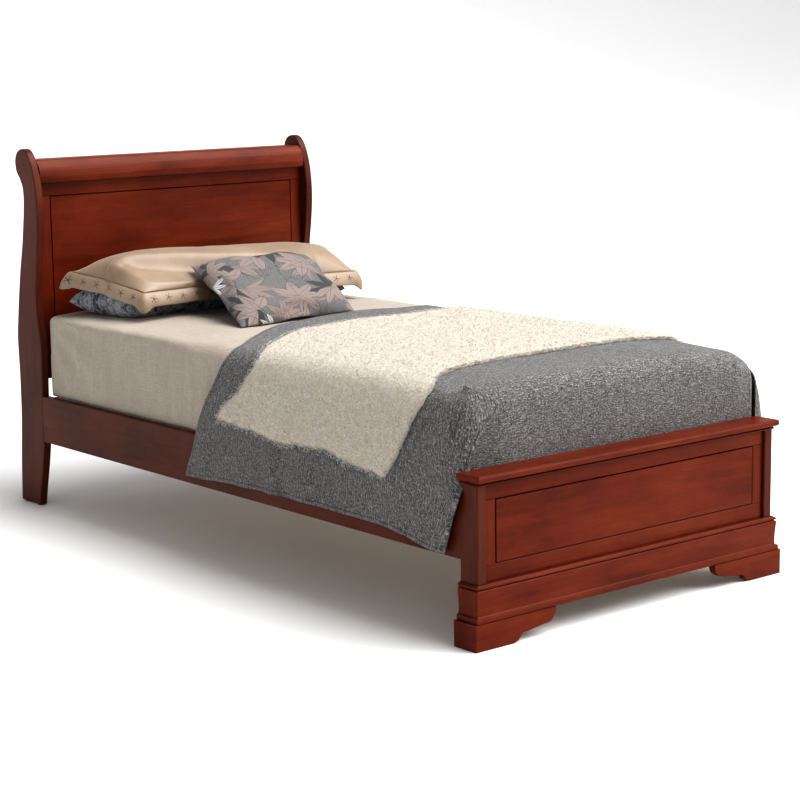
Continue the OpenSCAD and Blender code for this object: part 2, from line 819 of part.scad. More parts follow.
// A pillow is the hull of four small corners and a flattened crown above their middle.
module pillow(corners, crown_size, crown_at) {
    corner_r = 7;
    at_middle() hull() {
        for (c = corners) translate(c) sphere(r = corner_r, $fn = 12);
        translate(crown_at) scale([crown_size[0] / 2, crown_size[1] / 2, crown_size[2] / 2])
            sphere(r = 1, $fn = 28);
    }
}

module flat_pillow() {
    z = coverlet_low + 7;
    color(slate) pillow([[-395, 1700, z], [415, 1665, z], [430, 1955, z], [-450, 1970, z]],
        [640, 230, 52], [0, 1840, z + 20]);
}

module leaning_pillow() {
    color(sateen_tan) pillow([[-372, 1695, 642], [465, 1665, 664], [480, 1968, 752], [-485, 1965, 700]],
        [760, 250, 84], [20, 1845, 731]);
}

module accent_pillow() {
    color(rose_grey) pillow([[-250, 1330, 625], [190, 1352, 625], [285, 1675, 732], [-165, 1675, 740]],
        [360, 280, 84], [15, 1508, 705]);
}

headboard_post_left();
headboard_post_right();
headboard_top_rail();
headboard_panel();
headboard_upper_frame_rail();
headboard_lower_frame_rail();
headboard_stile_left();
headboard_stile_right();
headboard_stretcher();
headboard_dowels();
headboard_screws();
headboard_screw_plugs();
headboard_glides();
footboard_post_left();
footboard_post_right();
footboard_panel();
footboard_upper_frame_rail();
footboard_lower_frame_rail();
footboard_stile_left();
footboard_stile_right();
footboard_cap();
footboard_cap_moulding();
footboard_base_bead();
footboard_apron();
footboard_base_moulding();
bracket_foot_left();
bracket_foot_right();
corner_block_left();
corner_block_right();
footboard_dowels();
footboard_glides();
side_rail_left();
side_rail_right();
ledger_left();
ledger_right();
ledger_screws();
rail_hook_plates();
post_slot_plates();
plate_screws();
slats();
slat_straps();
foundation();
mattress();
fitted_sheet();
coverlet();
throw_blanket();
flat_pillow();
leaning_pillow();
accent_pillow();
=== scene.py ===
import math

import bpy
import numpy as np
from mathutils import Matrix, Vector
from mathutils.kdtree import KDTree


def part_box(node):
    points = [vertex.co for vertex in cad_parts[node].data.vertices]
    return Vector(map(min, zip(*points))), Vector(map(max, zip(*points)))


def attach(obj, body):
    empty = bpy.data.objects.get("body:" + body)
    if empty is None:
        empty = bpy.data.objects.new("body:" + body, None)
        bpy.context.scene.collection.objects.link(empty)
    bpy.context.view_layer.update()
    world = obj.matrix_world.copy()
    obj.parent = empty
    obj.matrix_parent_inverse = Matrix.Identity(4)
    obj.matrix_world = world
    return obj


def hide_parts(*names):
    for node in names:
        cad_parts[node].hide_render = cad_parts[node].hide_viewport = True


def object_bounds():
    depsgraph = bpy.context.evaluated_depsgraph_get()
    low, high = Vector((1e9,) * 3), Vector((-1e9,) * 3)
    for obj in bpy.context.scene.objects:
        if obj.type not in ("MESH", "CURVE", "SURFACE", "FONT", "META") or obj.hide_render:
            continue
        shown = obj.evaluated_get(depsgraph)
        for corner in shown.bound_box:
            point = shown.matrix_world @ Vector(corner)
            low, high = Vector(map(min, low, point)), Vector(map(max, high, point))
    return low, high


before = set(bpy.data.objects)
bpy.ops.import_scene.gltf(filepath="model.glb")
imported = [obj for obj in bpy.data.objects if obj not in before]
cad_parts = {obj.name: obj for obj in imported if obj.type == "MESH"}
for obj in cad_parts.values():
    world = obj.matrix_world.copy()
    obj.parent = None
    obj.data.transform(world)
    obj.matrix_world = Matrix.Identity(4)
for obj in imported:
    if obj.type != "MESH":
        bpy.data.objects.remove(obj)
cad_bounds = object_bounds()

# The looks of a sleigh bed: stained wood on the CAD frame, and its bedding made as cloth.
# Metres, +Z up, the headboard at +Y. Every place below is worked out from the CAD frame's boxes.


# ---- Places that several pieces share ----

MATTRESS_LOW, MATTRESS_HIGH = (np.array(corner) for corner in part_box("mattress"))
FOUNDATION_LOW, FOUNDATION_HIGH = (np.array(corner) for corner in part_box("foundation"))
RAIL_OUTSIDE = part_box("side_rail_right")[1].x
RAIL_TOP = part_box("side_rail_right")[1].z
CAP_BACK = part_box("footboard_cap")[1].y
SHEET_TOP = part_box("fitted_sheet")[1].z
BED_FRONT = cad_bounds[0].y
UP = np.array([0.0, 0.0, 1.0])

# How far the mattress's edges are rounded, and the sheet's over them: the upper edges under the coverlet,
# the lower edges, the upright corners at the foot, and the upper edges and upright corners near the head.
SHEET_EDGE = 0.042
SHEET_BASE = 0.004
SHEET_CORNER = 0.014
HEAD_EDGE = 0.018
HEAD_CORNER = 0.023

# How far the coverlet and the throw lie above the sheet.
COVERLET_LIFT = 0.006
THROW_LIFT = 0.018


def from_front(distance):
    """The Y of a place that lies so many metres behind the front of the bracket feet."""
    return BED_FRONT + distance


# ---- Noise and curves ----

def wander(points, size, seed):
    """Smooth noise, about -1 to 1, with lumps about size metres across (size may be one per axis)."""
    rng = np.random.default_rng(seed)
    slopes = rng.normal(size=(16, 16, 16, 3))
    slopes /= np.linalg.norm(slopes, axis=-1, keepdims=True)
    place = points / np.array(size, float) + rng.uniform(0, 16, 3)
    cell = np.floor(place).astype(int)
    part = place - cell
    ease = part * part * part * (part * (part * 6 - 15) + 10)
    total = np.zeros(len(points))
    for corner in np.ndindex(2, 2, 2):
        at = (cell + corner) % 16
        slope = slopes[at[:, 0], at[:, 1], at[:, 2]]
        share = np.prod(np.where(corner, ease, 1 - ease), axis=1)
        total += share * np.sum(slope * (part - corner), axis=1)
    return total * 1.6


def lengths(vectors):
    return np.linalg.norm(vectors, axis=1, keepdims=True)


def ease_between(value, low, high):
    """0 below low, 1 above high, and a smooth step between them."""
    t = np.clip((value - low) / (high - low), 0, 1)
    return t * t * (3 - 2 * t)


def soft_line(points, at, blur):
    """A line through points (x, y), with its corners rounded off over blur either side."""
    xs, ys = zip(*points)
    return np.mean([np.interp(at + shift, xs, ys) for shift in np.linspace(-blur, blur, 9)], axis=0)


# ---- Mesh helpers ----

def keep_places(mesh, name, flat):
    """Keeps a place on the flat cloth for each point, as a UV map in metres."""
    layer = mesh.uv_layers.new(name=name)
    corners = np.empty(len(mesh.loops), int)
    mesh.loops.foreach_get("vertex_index", corners)
    layer.data.foreach_set("uv", np.asarray(flat, float)[corners].ravel())


def make_mesh(name, points, faces, flat=None):
    """A smooth mesh object. flat gives each point's place on the uncut cloth."""
    mesh = bpy.data.meshes.new(name)
    mesh.from_pydata([tuple(p) for p in points], [], [tuple(f) for f in faces])
    mesh.update()
    mesh.shade_smooth()
    if flat is not None:
        keep_places(mesh, "cloth", flat)
    obj = bpy.data.objects.new(name, mesh)
    bpy.context.scene.collection.objects.link(obj)
    return obj


def points_of(obj):
    points = np.empty(len(obj.data.vertices) * 3)
    obj.data.vertices.foreach_get("co", points)
    return points.reshape(-1, 3)


def normals_of(obj):
    normals = np.empty(len(obj.data.vertices) * 3)
    obj.data.vertex_normals.foreach_get("vector", normals)
    return normals.reshape(-1, 3)


def move_points(obj, points):
    obj.data.vertices.foreach_set("co", np.asarray(points, float).ravel())
    obj.data.update()


def add_value(obj, name, values):
    """Keeps one number per point, for a material to read."""
    obj.data.attributes.new(name, "FLOAT", "POINT").data.foreach_set("value", np.asarray(values, float))


def without_spare(faces):
    """The points that the faces use, and the faces renumbered for a list of only those points."""
    used = sorted({i for face in faces for i in face})
    renumber = {old: new for new, old in enumerate(used)}
    return used, [[renumber[i] for i in face] for face in faces]


def border_points(faces):
    """The points on the open edges of a list of faces."""
    count = {}
    for face in faces:
        for a, b in zip(face, face[1:] + face[:1]):
            edge = (min(a, b), max(a, b))
            count[edge] = count.get(edge, 0) + 1
    return sorted({point for edge, n in count.items() if n == 1 for point in edge})


def edge_distance(points, border):
    """How far each point is from the nearest border point."""
    tree = KDTree(len(border))
    for index in border:
        tree.insert(points[index], index)
    tree.balance()
    return np.array([tree.find(point)[2] for point in points])


def thicken(obj, thickness, offset=0.0):
    layer = obj.modifiers.new("thickness", "SOLIDIFY")
    layer.thickness = thickness
    layer.offset = offset


def subdivide(obj):
    smooth = obj.modifiers.new("smooth", "SUBSURF")
    smooth.levels = smooth.render_levels = 1


def block_grid(low, high, step):
    """Points and faces of a box's surface, split into squares of about step."""
    counts = [max(2, round((b - a) / step)) for a, b in zip(low, high)]
    index = {}
    faces = []
    for axis in range(3):
        across, up = (axis + 1) % 3, (axis + 2) % 3
        for side in (0, counts[axis]):
            for i in range(counts[across]):
                for j in range(counts[up]):
                    quad = []
                    for di, dj in ((0, 0), (1, 0), (1, 1), (0, 1)):
                        key = [0, 0, 0]
                        key[axis], key[across], key[up] = side, i + di, j + dj
                        quad.append(index.setdefault(tuple(key), len(index)))
                    faces.append(quad if side else quad[::-1])
    points = low + (high - low) * np.array(list(index)) / np.array(counts)
    return points, faces


def rounded(points, low, high, radius, axes):
    """Rounds the edges of a box's points that run along the axes left out of axes."""
    axes = list(axes)
    result = points.copy()
    core = np.clip(points[:, axes], low[axes] + radius, high[axes] - radius)
    out = points[:, axes] - core
    length = lengths(out)
    reach = np.abs(out).max(axis=1, keepdims=True)
    result[:, axes] = core + out * reach / np.maximum(length, 1e-9)
    return result


def rounded_block(low, high, step, edge, base, corner):
    """A box with its upper edges rounded to edge, its lower ones to base, and its upright ones to corner.
    The upper edges are tighter near the head of the bed, where no cover lies over them."""
    points, faces = block_grid(low, high, step)
    upper = points[:, 2:] > (low[2] + high[2]) / 2
    bare = ease_between(points[:, 1:2], from_front(1.10), from_front(1.40))
    edge = edge + (min(edge, HEAD_EDGE) - edge) * bare
    corner = corner + (max(corner, HEAD_CORNER) - corner) * bare
    points = np.where(upper, rounded(points, low, high, edge, (0, 1, 2)),
                      rounded(points, low, high, base, (0, 1, 2)))
    return rounded(points, low, high, corner, (0, 1)), faces


# ---- Materials ----

class Look:
    """One material, built from nodes. Each method adds a node and gives its output."""

    def __init__(self, name):
        self.material = bpy.data.materials.new(name)
        self.material.use_nodes = True
        self.tree = self.material.node_tree
        self.shader = self.tree.nodes["Principled BSDF"]

    def feed(self, socket, value):
        if isinstance(value, bpy.types.NodeSocket):
            self.tree.links.new(value, socket)
        elif socket.type == "RGBA":
            socket.default_value = (*value, 1)
        else:
            socket.default_value = value

    def add(self, kind, inputs, output=0, **settings):
        node = self.tree.nodes.new("ShaderNode" + kind)
        for name, value in settings.items():
            setattr(node, name, value)
        for key, value in inputs.items():
            self.feed(node.inputs[key], value)
        return node.outputs[output]

    def place(self):
        return self.add("TexCoord", {}, "Object")

    def cloth(self):
        return self.add("UVMap", {}, uv_map="cloth")

    def value(self, name):
        return self.add("Attribute", {}, "Fac", attribute_name=name)

    def scaled(self, vector, scale, turn=(0, 0, 0)):
        return self.add("Mapping", {"Vector": vector, "Scale": scale, "Rotation": turn})

    def noise(self, vector, scale, detail=3.0, roughness=0.5, distortion=0.0):
        return self.add("TexNoise", {"Vector": vector, "Scale": scale, "Detail": detail,
                                     "Roughness": roughness, "Distortion": distortion})

    def math(self, operation, a, b=0.0):
        return self.add("Math", {0: a, 1: b}, operation=operation)

    def plus(self, a, b):
        return self.math("ADD", a, b)

    def minus(self, a, b):
        return self.math("SUBTRACT", a, b)

    def times(self, a, b):
        return self.math("MULTIPLY", a, b)

    def vector_math(self, operation, a, b=(0, 0, 0), output=0):
        return self.add("VectorMath", {0: a, 1: b}, output, operation=operation)

    def band(self, value, low, high):
        """0 where value is below low, 1 where it is above high, smooth between."""
        return self.add("MapRange", {"Value": value, "From Min": low, "From Max": high},
                        interpolation_type="SMOOTHSTEP")

    def mix(self, factor, a, b):
        node = self.tree.nodes.new("ShaderNodeMix")
        node.data_type = "RGBA"
        self.feed(node.inputs[0], factor)
        self.feed(node.inputs[6], a)
        self.feed(node.inputs[7], b)
        return node.outputs[2]

    def tint(self, color, mask, share, other):
        """color with other laid over it where mask is 1, as strongly as share."""
        return self.mix(self.times(mask, share), color, other)

    def split(self, vector):
        node = self.tree.nodes.new("ShaderNodeSeparateXYZ")
        self.feed(node.inputs[0], vector)
        return node.outputs

    def bump(self, height, distance, strength=1.0, under=None):
        inputs = {"Height": height, "Distance": distance, "Strength": strength}
        if under is not None:
            inputs["Normal"] = under
        return self.add("Bump", inputs)

    def finish(self, color, roughness, normal=None, **constants):
        self.feed(self.shader.inputs["Base Color"], color)
        self.feed(self.shader.inputs["Roughness"], roughness)
        if normal is not None:
            self.feed(self.shader.inputs["Normal"], normal)
        for name, value in constants.items():
            self.shader.inputs[name.replace("_", " ")].default_value = value
        return self.material


def along(axis, share):
    """Scales that stretch a pattern along one axis: 1 across the grain and share along it."""
    return tuple(share if i == axis else 1.0 for i in range(3))


def cherry(name, axis, dark, mid, light):
    """Stained wood under lacquer: long grain, fine pores, cloudy stain, and painted shade darkening its
    corners and grooves.
    """
    look = Look(name)
    place = look.place()
    long = look.scaled(place, along(axis, 0.07))
    fine = look.scaled(place, along(axis, 0.02))
    cloud = look.noise(look.scaled(place, along(axis, 0.45)), 9, 4, 0.6)
    figure = look.noise(long, 26, 5, 0.55, 1.4)
    fibre = look.noise(fine, 420, 3, 0.6)
    pore = look.band(look.noise(look.scaled(place, along(axis, 0.05)), 900, 2, 0.5), 0.64, 0.72)
    stain = look.plus(look.times(figure, 0.38), look.times(cloud, 0.62))
    color = look.mix(look.band(stain, 0.36, 0.54), dark, mid)
    color = look.mix(look.band(stain, 0.50, 0.68), color, light)
    color = look.tint(color, look.band(fibre, 0.35, 0.7), 0.30, dark)
    color = look.tint(color, pore, 0.5, tuple(0.35 * c for c in dark))
    # Painted shade: the colour is darkened towards near-black where ambient occlusion finds corners and
    # grooves.
    corners = look.add("AmbientOcclusion", {"Distance": 0.010}, "AO", samples=6)
    painted_corner_shade = look.band(corners, 0.80, 0.35)
    color = look.tint(color, painted_corner_shade, 0.55, (0.014, 0.0035, 0.002))
    rough = look.plus(0.29, look.times(look.noise(place, 14, 3, 0.6), 0.14))
    height = look.minus(look.times(fibre, 0.5), pore)
    normal = look.bump(height, 0.00018, 0.5)
    normal = look.bump(look.noise(place, 22, 2, 0.5), 0.0012, 0.25, normal)
    return look.finish(color, rough, normal, Coat_Weight=0.03, Coat_Roughness=0.15, Specular_IOR_Level=0.11)


def pine(name, axis):
    look = Look(name)
    place = look.place()
    rings = look.noise(look.scaled(place, along(axis, 0.05)), 38, 4, 0.5, 2.0)
    fibre = look.noise(look.scaled(place, along(axis, 0.02)), 500, 2, 0.6)
    knots = look.band(look.noise(look.scaled(place, along(axis, 0.5)), 7, 1, 0.4), 0.70, 0.78)
    color = look.mix(look.band(rings, 0.38, 0.62), (0.62, 0.42, 0.22), (0.74, 0.56, 0.34))
    color = look.tint(color, look.band(fibre, 0.4, 0.7), 0.2, (0.45, 0.27, 0.12))
    color = look.mix(knots, color, (0.25, 0.12, 0.05))
    normal = look.bump(look.plus(fibre, rings), 0.0004, 0.5)
    return look.finish(color, 0.62, normal)


def zinc_steel(name):
    look = Look(name)
    place = look.place()
    flakes = look.noise(place, 160, 3, 0.6)
    scratches = look.noise(look.scaled(place, (1, 0.05, 1)), 900, 2, 0.5)
    stains = look.band(look.noise(place, 30, 3, 0.6), 0.5, 0.75)
    color = look.mix(look.band(flakes, 0.4, 0.6), (0.52, 0.53, 0.55), (0.66, 0.67, 0.69))
    color = look.tint(color, stains, 0.4, (0.40, 0.39, 0.36))
    rough = look.plus(0.28, look.times(scratches, 0.22))
    return look.finish(color, rough, look.bump(scratches, 0.0001, 0.4), Metallic=1.0)


def glide_plastic(name):
    look = Look(name)
    grain = look.noise(look.place(), 1400, 2, 0.5)
    scuffs = look.noise(look.scaled(look.place(), (1, 1, 6)), 90, 4, 0.6)
    color = look.mix(look.band(scuffs, 0.55, 0.75), (0.012, 0.012, 0.013), (0.05, 0.05, 0.052))
    return look.finish(color, 0.55, look.bump(grain, 0.0001, 0.4))


def threads(look, vector, spacing, axis):
    """Ridges, one for each thread: a wave of the given spacing along one axis of vector."""
    turns = look.times(look.split(vector)[axis], 2 * math.pi / spacing)
    return look.math("SINE", turns)


def plain_weave(look, vector, spacing, up=1):
    """Height of an over-and-under weave in the plane of axis 0 and axis up."""
    warp = threads(look, vector, spacing * 2, 0)
    weft = threads(look, vector, spacing * 2, up)
    return look.times(warp, weft)


def webbing(name):
    look = Look(name)
    place = look.place()
    weave = plain_weave(look, place, 0.0016)
    soil = look.noise(place, 12, 3, 0.6)
    color = look.mix(look.band(weave, -0.6, 0.6), (0.045, 0.046, 0.05), (0.10, 0.10, 0.11))
    color = look.tint(color, soil, 0.3, (0.14, 0.13, 0.12))
    return look.finish(color, 0.85, look.bump(weave, 0.0004))


def ticking(name):
    """Mattress cover: off-white damask with a small woven figure and a grey stripe."""
    look = Look(name)
    place = look.place()
    stripe = threads(look, place, 0.036, 0)
    figure = look.add("TexVoronoi", {"Vector": place, "Scale": 46.0}, "Distance")
    fine = look.noise(place, 1500, 2, 0.5)
    color = look.mix(look.band(figure, 0.25, 0.42), (0.80, 0.79, 0.75), (0.70, 0.69, 0.66))
    color = look.tint(color, look.band(stripe, 0.86, 0.93), 0.6, (0.34, 0.38, 0.44))
    color = look.tint(color, look.band(fine, 0.4, 0.6), 0.25, (0.55, 0.54, 0.52))
    height = look.plus(look.times(figure, -0.6), look.times(fine, 0.4))
    return look.finish(color, 0.82, look.bump(height, 0.0009, 0.6), Sheen_Weight=0.2)


def linen(name):
    """Washed linen: an uneven greige weave whose thick threads show both ways."""
    look = Look(name)
    place = look.place()
    lengthways = look.noise(look.scaled(place, (1, 0.03, 1)), 700, 2, 0.6)
    upright = look.noise(look.scaled(place, (0.3, 1, 0.03)), 700, 2, 0.6)
    wash = look.noise(place, 6, 4, 0.6)
    color = look.mix(look.band(lengthways, 0.35, 0.65), (0.315, 0.272, 0.225), (0.39, 0.342, 0.286))
    color = look.tint(color, look.band(upright, 0.42, 0.66), 0.5, (0.45, 0.405, 0.345))
    color = look.tint(color, look.band(wash, 0.35, 0.7), 0.22, (0.275, 0.232, 0.19))
    height = look.plus(lengthways, upright)
    return look.finish(color, 0.88, look.bump(height, 0.0005, 0.6), Sheen_Weight=0.12)


def charcoal_weave(name):
    """Heathered coverlet: dark and pale threads, slubs both ways, and a turned hem along the edge with
    painted shade in a dark line along its step.
    """
    look = Look(name)
    cloth = look.cloth()
    warp = look.noise(look.scaled(cloth, (1, 0.06, 1)), 620, 3, 0.65)
    weft = look.noise(look.scaled(cloth, (0.06, 1, 1)), 620, 3, 0.65)
    slub = look.noise(look.scaled(cloth, (0.16, 1, 1)), 210, 3, 0.6)
    patch = look.noise(cloth, 5, 4, 0.6)
    fleck = look.noise(look.scaled(cloth, (0.5, 1, 1)), 330, 2, 0.6)
    weave = plain_weave(look, cloth, 0.0016)
    color = look.mix(look.band(warp, 0.38, 0.62), (0.026, 0.0250, 0.0245), (0.134, 0.129, 0.126))
    color = look.tint(color, look.band(weft, 0.45, 0.66), 0.75, (0.272, 0.265, 0.260))
    color = look.tint(color, look.band(slub, 0.56, 0.70), 0.55, (0.40, 0.395, 0.39))
    color = look.tint(color, look.band(patch, 0.35, 0.7), 0.22, (0.045, 0.044, 0.045))
    color = look.tint(color, look.band(fleck, 0.54, 0.66), 0.55, (0.46, 0.455, 0.45))
    color = look.tint(color, look.band(fleck, 0.46, 0.34), 0.55, (0.022, 0.0215, 0.022))
    edge = look.value("edge")
    # Painted shade: a near-black line where the hem's edge steps down onto the cloth.
    hem = look.times(look.band(edge, 0.0105, 0.0115), look.band(edge, 0.0145, 0.0135))
    color = look.tint(color, hem, 0.4, (0.02, 0.02, 0.02))
    fold = look.band(edge, 0.013, 0.011)
    height = look.plus(look.plus(warp, weft), look.times(weave, 0.4))
    normal = look.bump(height, 0.0011, 0.7)
    normal = look.bump(fold, 0.0012, 0.8, normal)
    return look.finish(color, 0.93, normal, Sheen_Weight=0.12, Sheen_Roughness=0.5)


def fleece(name):
    """Bouclé: pale curls, with painted shade darkening the hollows between them."""
    look = Look(name)
    place = look.place()
    curls = look.add("TexVoronoi", {"Vector": place, "Scale": 165.0, "Randomness": 1.0}, "Distance")
    fibre = look.noise(place, 520, 4, 0.65, 1.2)
    tint = look.noise(place, 70, 3, 0.6)
    # Painted shade: the hollows between the curls are tinted darker and warmer.
    gap = look.band(look.plus(look.times(curls, 0.6), look.times(fibre, 0.5)), 0.40, 0.66)
    color = look.mix(look.band(tint, 0.38, 0.62), (0.485, 0.454, 0.396), (0.55, 0.532, 0.492))
    color = look.tint(color, gap, 0.7, (0.44, 0.36, 0.26))
    height = look.minus(look.times(fibre, 0.7), curls)
    return look.finish(color, 0.95, look.bump(height, 0.003, 0.7), Sheen_Weight=0.3, Sheen_Roughness=0.6)


def wool_curl(name):
    """The loose curls that stand off the throw: the same wool, without the painted shade between curls."""
    look = Look(name)
    tint = look.noise(look.place(), 90, 3, 0.6)
    color = look.mix(look.band(tint, 0.38, 0.62), (0.495, 0.463, 0.404), (0.58, 0.559, 0.514))
    fibre = look.noise(look.place(), 1800, 2, 0.6)
    return look.finish(color, 0.95, look.bump(fibre, 0.0004, 0.5), Sheen_Weight=0.3, Sheen_Roughness=0.6)


def sateen(name):
    """Smooth tan cotton, with small stitched stars along its flange and two rows of stitches inside it."""
    look = Look(name)
    cloth = look.cloth()
    twill = look.noise(look.scaled(cloth, (1, 0.08, 1), (0, 0, 0.6)), 900, 2, 0.5)
    wash = look.noise(look.place(), 5, 3, 0.6)
    color = look.mix(look.band(wash, 0.35, 0.7), (0.235, 0.168, 0.112), (0.30, 0.220, 0.152))
    color = look.tint(color, look.band(twill, 0.4, 0.65), 0.22, (0.20, 0.125, 0.07))
    run, out = look.split(look.add("UVMap", {}, uv_map="flange"))[0:2]
    spacing = 0.052
    turn = look.math("FRACT", look.math("DIVIDE", run, spacing))
    u = look.times(look.minus(turn, 0.5), spacing)
    v = look.minus(out, 0.023)
    radius = look.math("SQRT", look.plus(look.times(u, u), look.times(v, v)))
    angle = look.math("ARCTAN2", v, u)
    rays = look.math("ABSOLUTE", look.math("SINE", look.times(angle, 2.5)))
    wide = look.times(rays, radius)
    star = look.times(look.band(wide, 0.0026, 0.0015), look.band(radius, 0.0130, 0.0115))
    color = look.mix(star, color, (0.022, 0.016, 0.013))
    rows = look.times(look.band(out, 0.0005, 0.0012), look.band(out, 0.0036, 0.0028))
    dashes = look.band(look.math("SINE", look.times(run, 2 * math.pi / 0.004)), -0.4, 0.2)
    stitches = look.times(rows, dashes)
    color = look.tint(color, stitches, 0.6, (0.24, 0.15, 0.08))
    height = look.plus(look.times(twill, 0.3), look.plus(star, stitches))
    normal = look.bump(height, 0.0006, 0.6)
    return look.finish(color, 0.44, normal, Sheen_Weight=0.25, Specular_IOR_Level=0.5)


def jacquard(name):
    """Slate cloth with a pale woven figure and thin dark lines that meander over it."""
    look = Look(name)
    cloth = look.cloth()
    weave = plain_weave(look, cloth, 0.0012)
    bend = look.noise(cloth, 18, 2, 0.5)
    bent = look.vector_math("ADD", cloth, look.add("CombineXYZ", {
        0: look.times(bend, 0.02), 1: look.times(bend, -0.02)}))
    lace = look.add("TexVoronoi", {"Vector": bent, "Scale": 95.0}, "Distance", feature="DISTANCE_TO_EDGE")
    petals = look.noise(cloth, 90, 4, 0.7, 1.5)
    color = look.mix(look.band(petals, 0.42, 0.58), (0.060, 0.067, 0.076), (0.26, 0.28, 0.31))
    color = look.tint(color, look.band(lace, 0.12, 0.03), 0.6, (0.38, 0.40, 0.43))
    steps = look.vector_math("SNAP", look.scaled(cloth, (1, 1, 1), (0, 0, 0.3)), (0.012, 0.012, 0.012))
    path = look.noise(steps, 17, 2, 0.5)
    line = look.times(look.band(path, 0.47, 0.485), look.band(path, 0.525, 0.51))
    color = look.tint(color, line, 0.85, (0.012, 0.014, 0.018))
    height = look.plus(look.times(weave, 0.4), look.plus(petals, line))
    return look.finish(color, 0.70, look.bump(height, 0.0007, 0.6), Sheen_Weight=0.2)


def leaf_sprays(look, cloth, scale, leaves, length, width, turn):
    """Sprays of pointed leaves round scattered centres: where a leaf is, its outline, and its midrib."""
    cells = look.tree.nodes.new("ShaderNodeTexVoronoi")
    cells.voronoi_dimensions = "2D"
    look.feed(cells.inputs["Vector"], look.scaled(cloth, (1, 1, 1), (0, 0, turn)))
    look.feed(cells.inputs["Scale"], scale)
    look.feed(cells.inputs["Randomness"], 0.75)
    offset = look.vector_math("SUBTRACT", look.scaled(cloth, (1, 1, 1), (0, 0, turn)),
                              cells.outputs["Position"])
    u, v = look.split(offset)[0:2]
    radius = look.vector_math("LENGTH", offset, output="Value")
    spin = look.times(look.split(cells.outputs["Color"])[0], 2 * math.pi)
    angle = look.plus(look.math("ARCTAN2", v, u), spin)
    share = look.minus(look.math("FRACT", look.times(angle, leaves / (2 * math.pi))), 0.5)
    aside = look.times(look.math("ABSOLUTE", share), 2 * math.pi / leaves)
    sideways = look.times(aside, radius)
    swell = look.math("SINE", look.times(look.math("MINIMUM", radius, length), math.pi / length))
    margin = look.minus(look.times(swell, width), sideways)
    fan = look.band(look.math("FRACT", look.math("DIVIDE", angle, 2 * math.pi)), 0.62, 0.615)
    leaf = look.times(look.band(margin, -0.0002, 0.0003), fan)
    outline = look.times(look.band(margin, -0.0012, -0.0004), look.band(margin, 0.0012, 0.0004))
    outline = look.times(outline, fan)
    rib = look.times(leaf, look.band(sideways, 0.0008, 0.0004))
    return leaf, look.math("MAXIMUM", outline, rib)


def leaf_print(name):
    """A generic printed cotton: pink, grey and white leaf sprays with dark outlines on grey."""
    look = Look(name)
    cloth = look.cloth()
    weave = plain_weave(look, cloth, 0.001)
    ink = (0.018, 0.018, 0.020)
    mottle = look.band(look.noise(cloth, 240, 3, 0.6), 0.4, 0.6)
    color = look.mix(mottle, (0.085, 0.085, 0.084), (0.140, 0.139, 0.137))
    height = look.times(weave, 0.5)
    for scale, leaves, length, width, turn, tint in (
            (6.5, 9, 0.095, 0.0165, 0.3, (0.205, 0.158, 0.142)),
            (4.4, 10, 0.105, 0.0135, 1.3, (0.030, 0.031, 0.033)),
            (6.5, 8, 0.090, 0.0180, 2.1, (0.225, 0.178, 0.160)),
            (3.4, 11, 0.070, 0.0085, 0.9, (0.44, 0.45, 0.44))):
        leaf, line = leaf_sprays(look, cloth, scale, leaves, length, width, turn)
        streaks = look.times(look.band(look.noise(cloth, 160, 2, 0.6), 0.45, 0.6), 0.25)
        color = look.mix(leaf, color, look.mix(streaks, tint, tuple(0.6 * c for c in tint)))
        color = look.tint(color, line, 0.85, ink)
    return look.finish(color, 0.80, look.bump(height, 0.0004, 0.5), Sheen_Weight=0.15)


def floor_finish(name):
    look = Look(name)
    rough = look.plus(0.6, look.times(look.noise(look.place(), 3, 2, 0.5), 0.1))
    return look.finish((0.84, 0.84, 0.84), rough)


# ---- Wood, steel and plastic of the frame ----

RED = dict(dark=(0.086, 0.0125, 0.0036), mid=(0.130, 0.0205, 0.0052), light=(0.165, 0.031, 0.0080))
# Painted shade and painted reflection: a darker, greyer-brown copy of the red cherry, with the look of the
# side faces in shade, and the grey reflection on them, put into its colour.
SHADED_SIDE_CHERRY = dict(dark=(0.064, 0.0160, 0.0080), mid=(0.096, 0.0240, 0.0125), light=(0.120, 0.0320, 0.0180))


SIDES = ("left", "right")
LEVELS = ("upper", "lower")


def both(start, words, end=""):
    return [start + word + end for word in words]


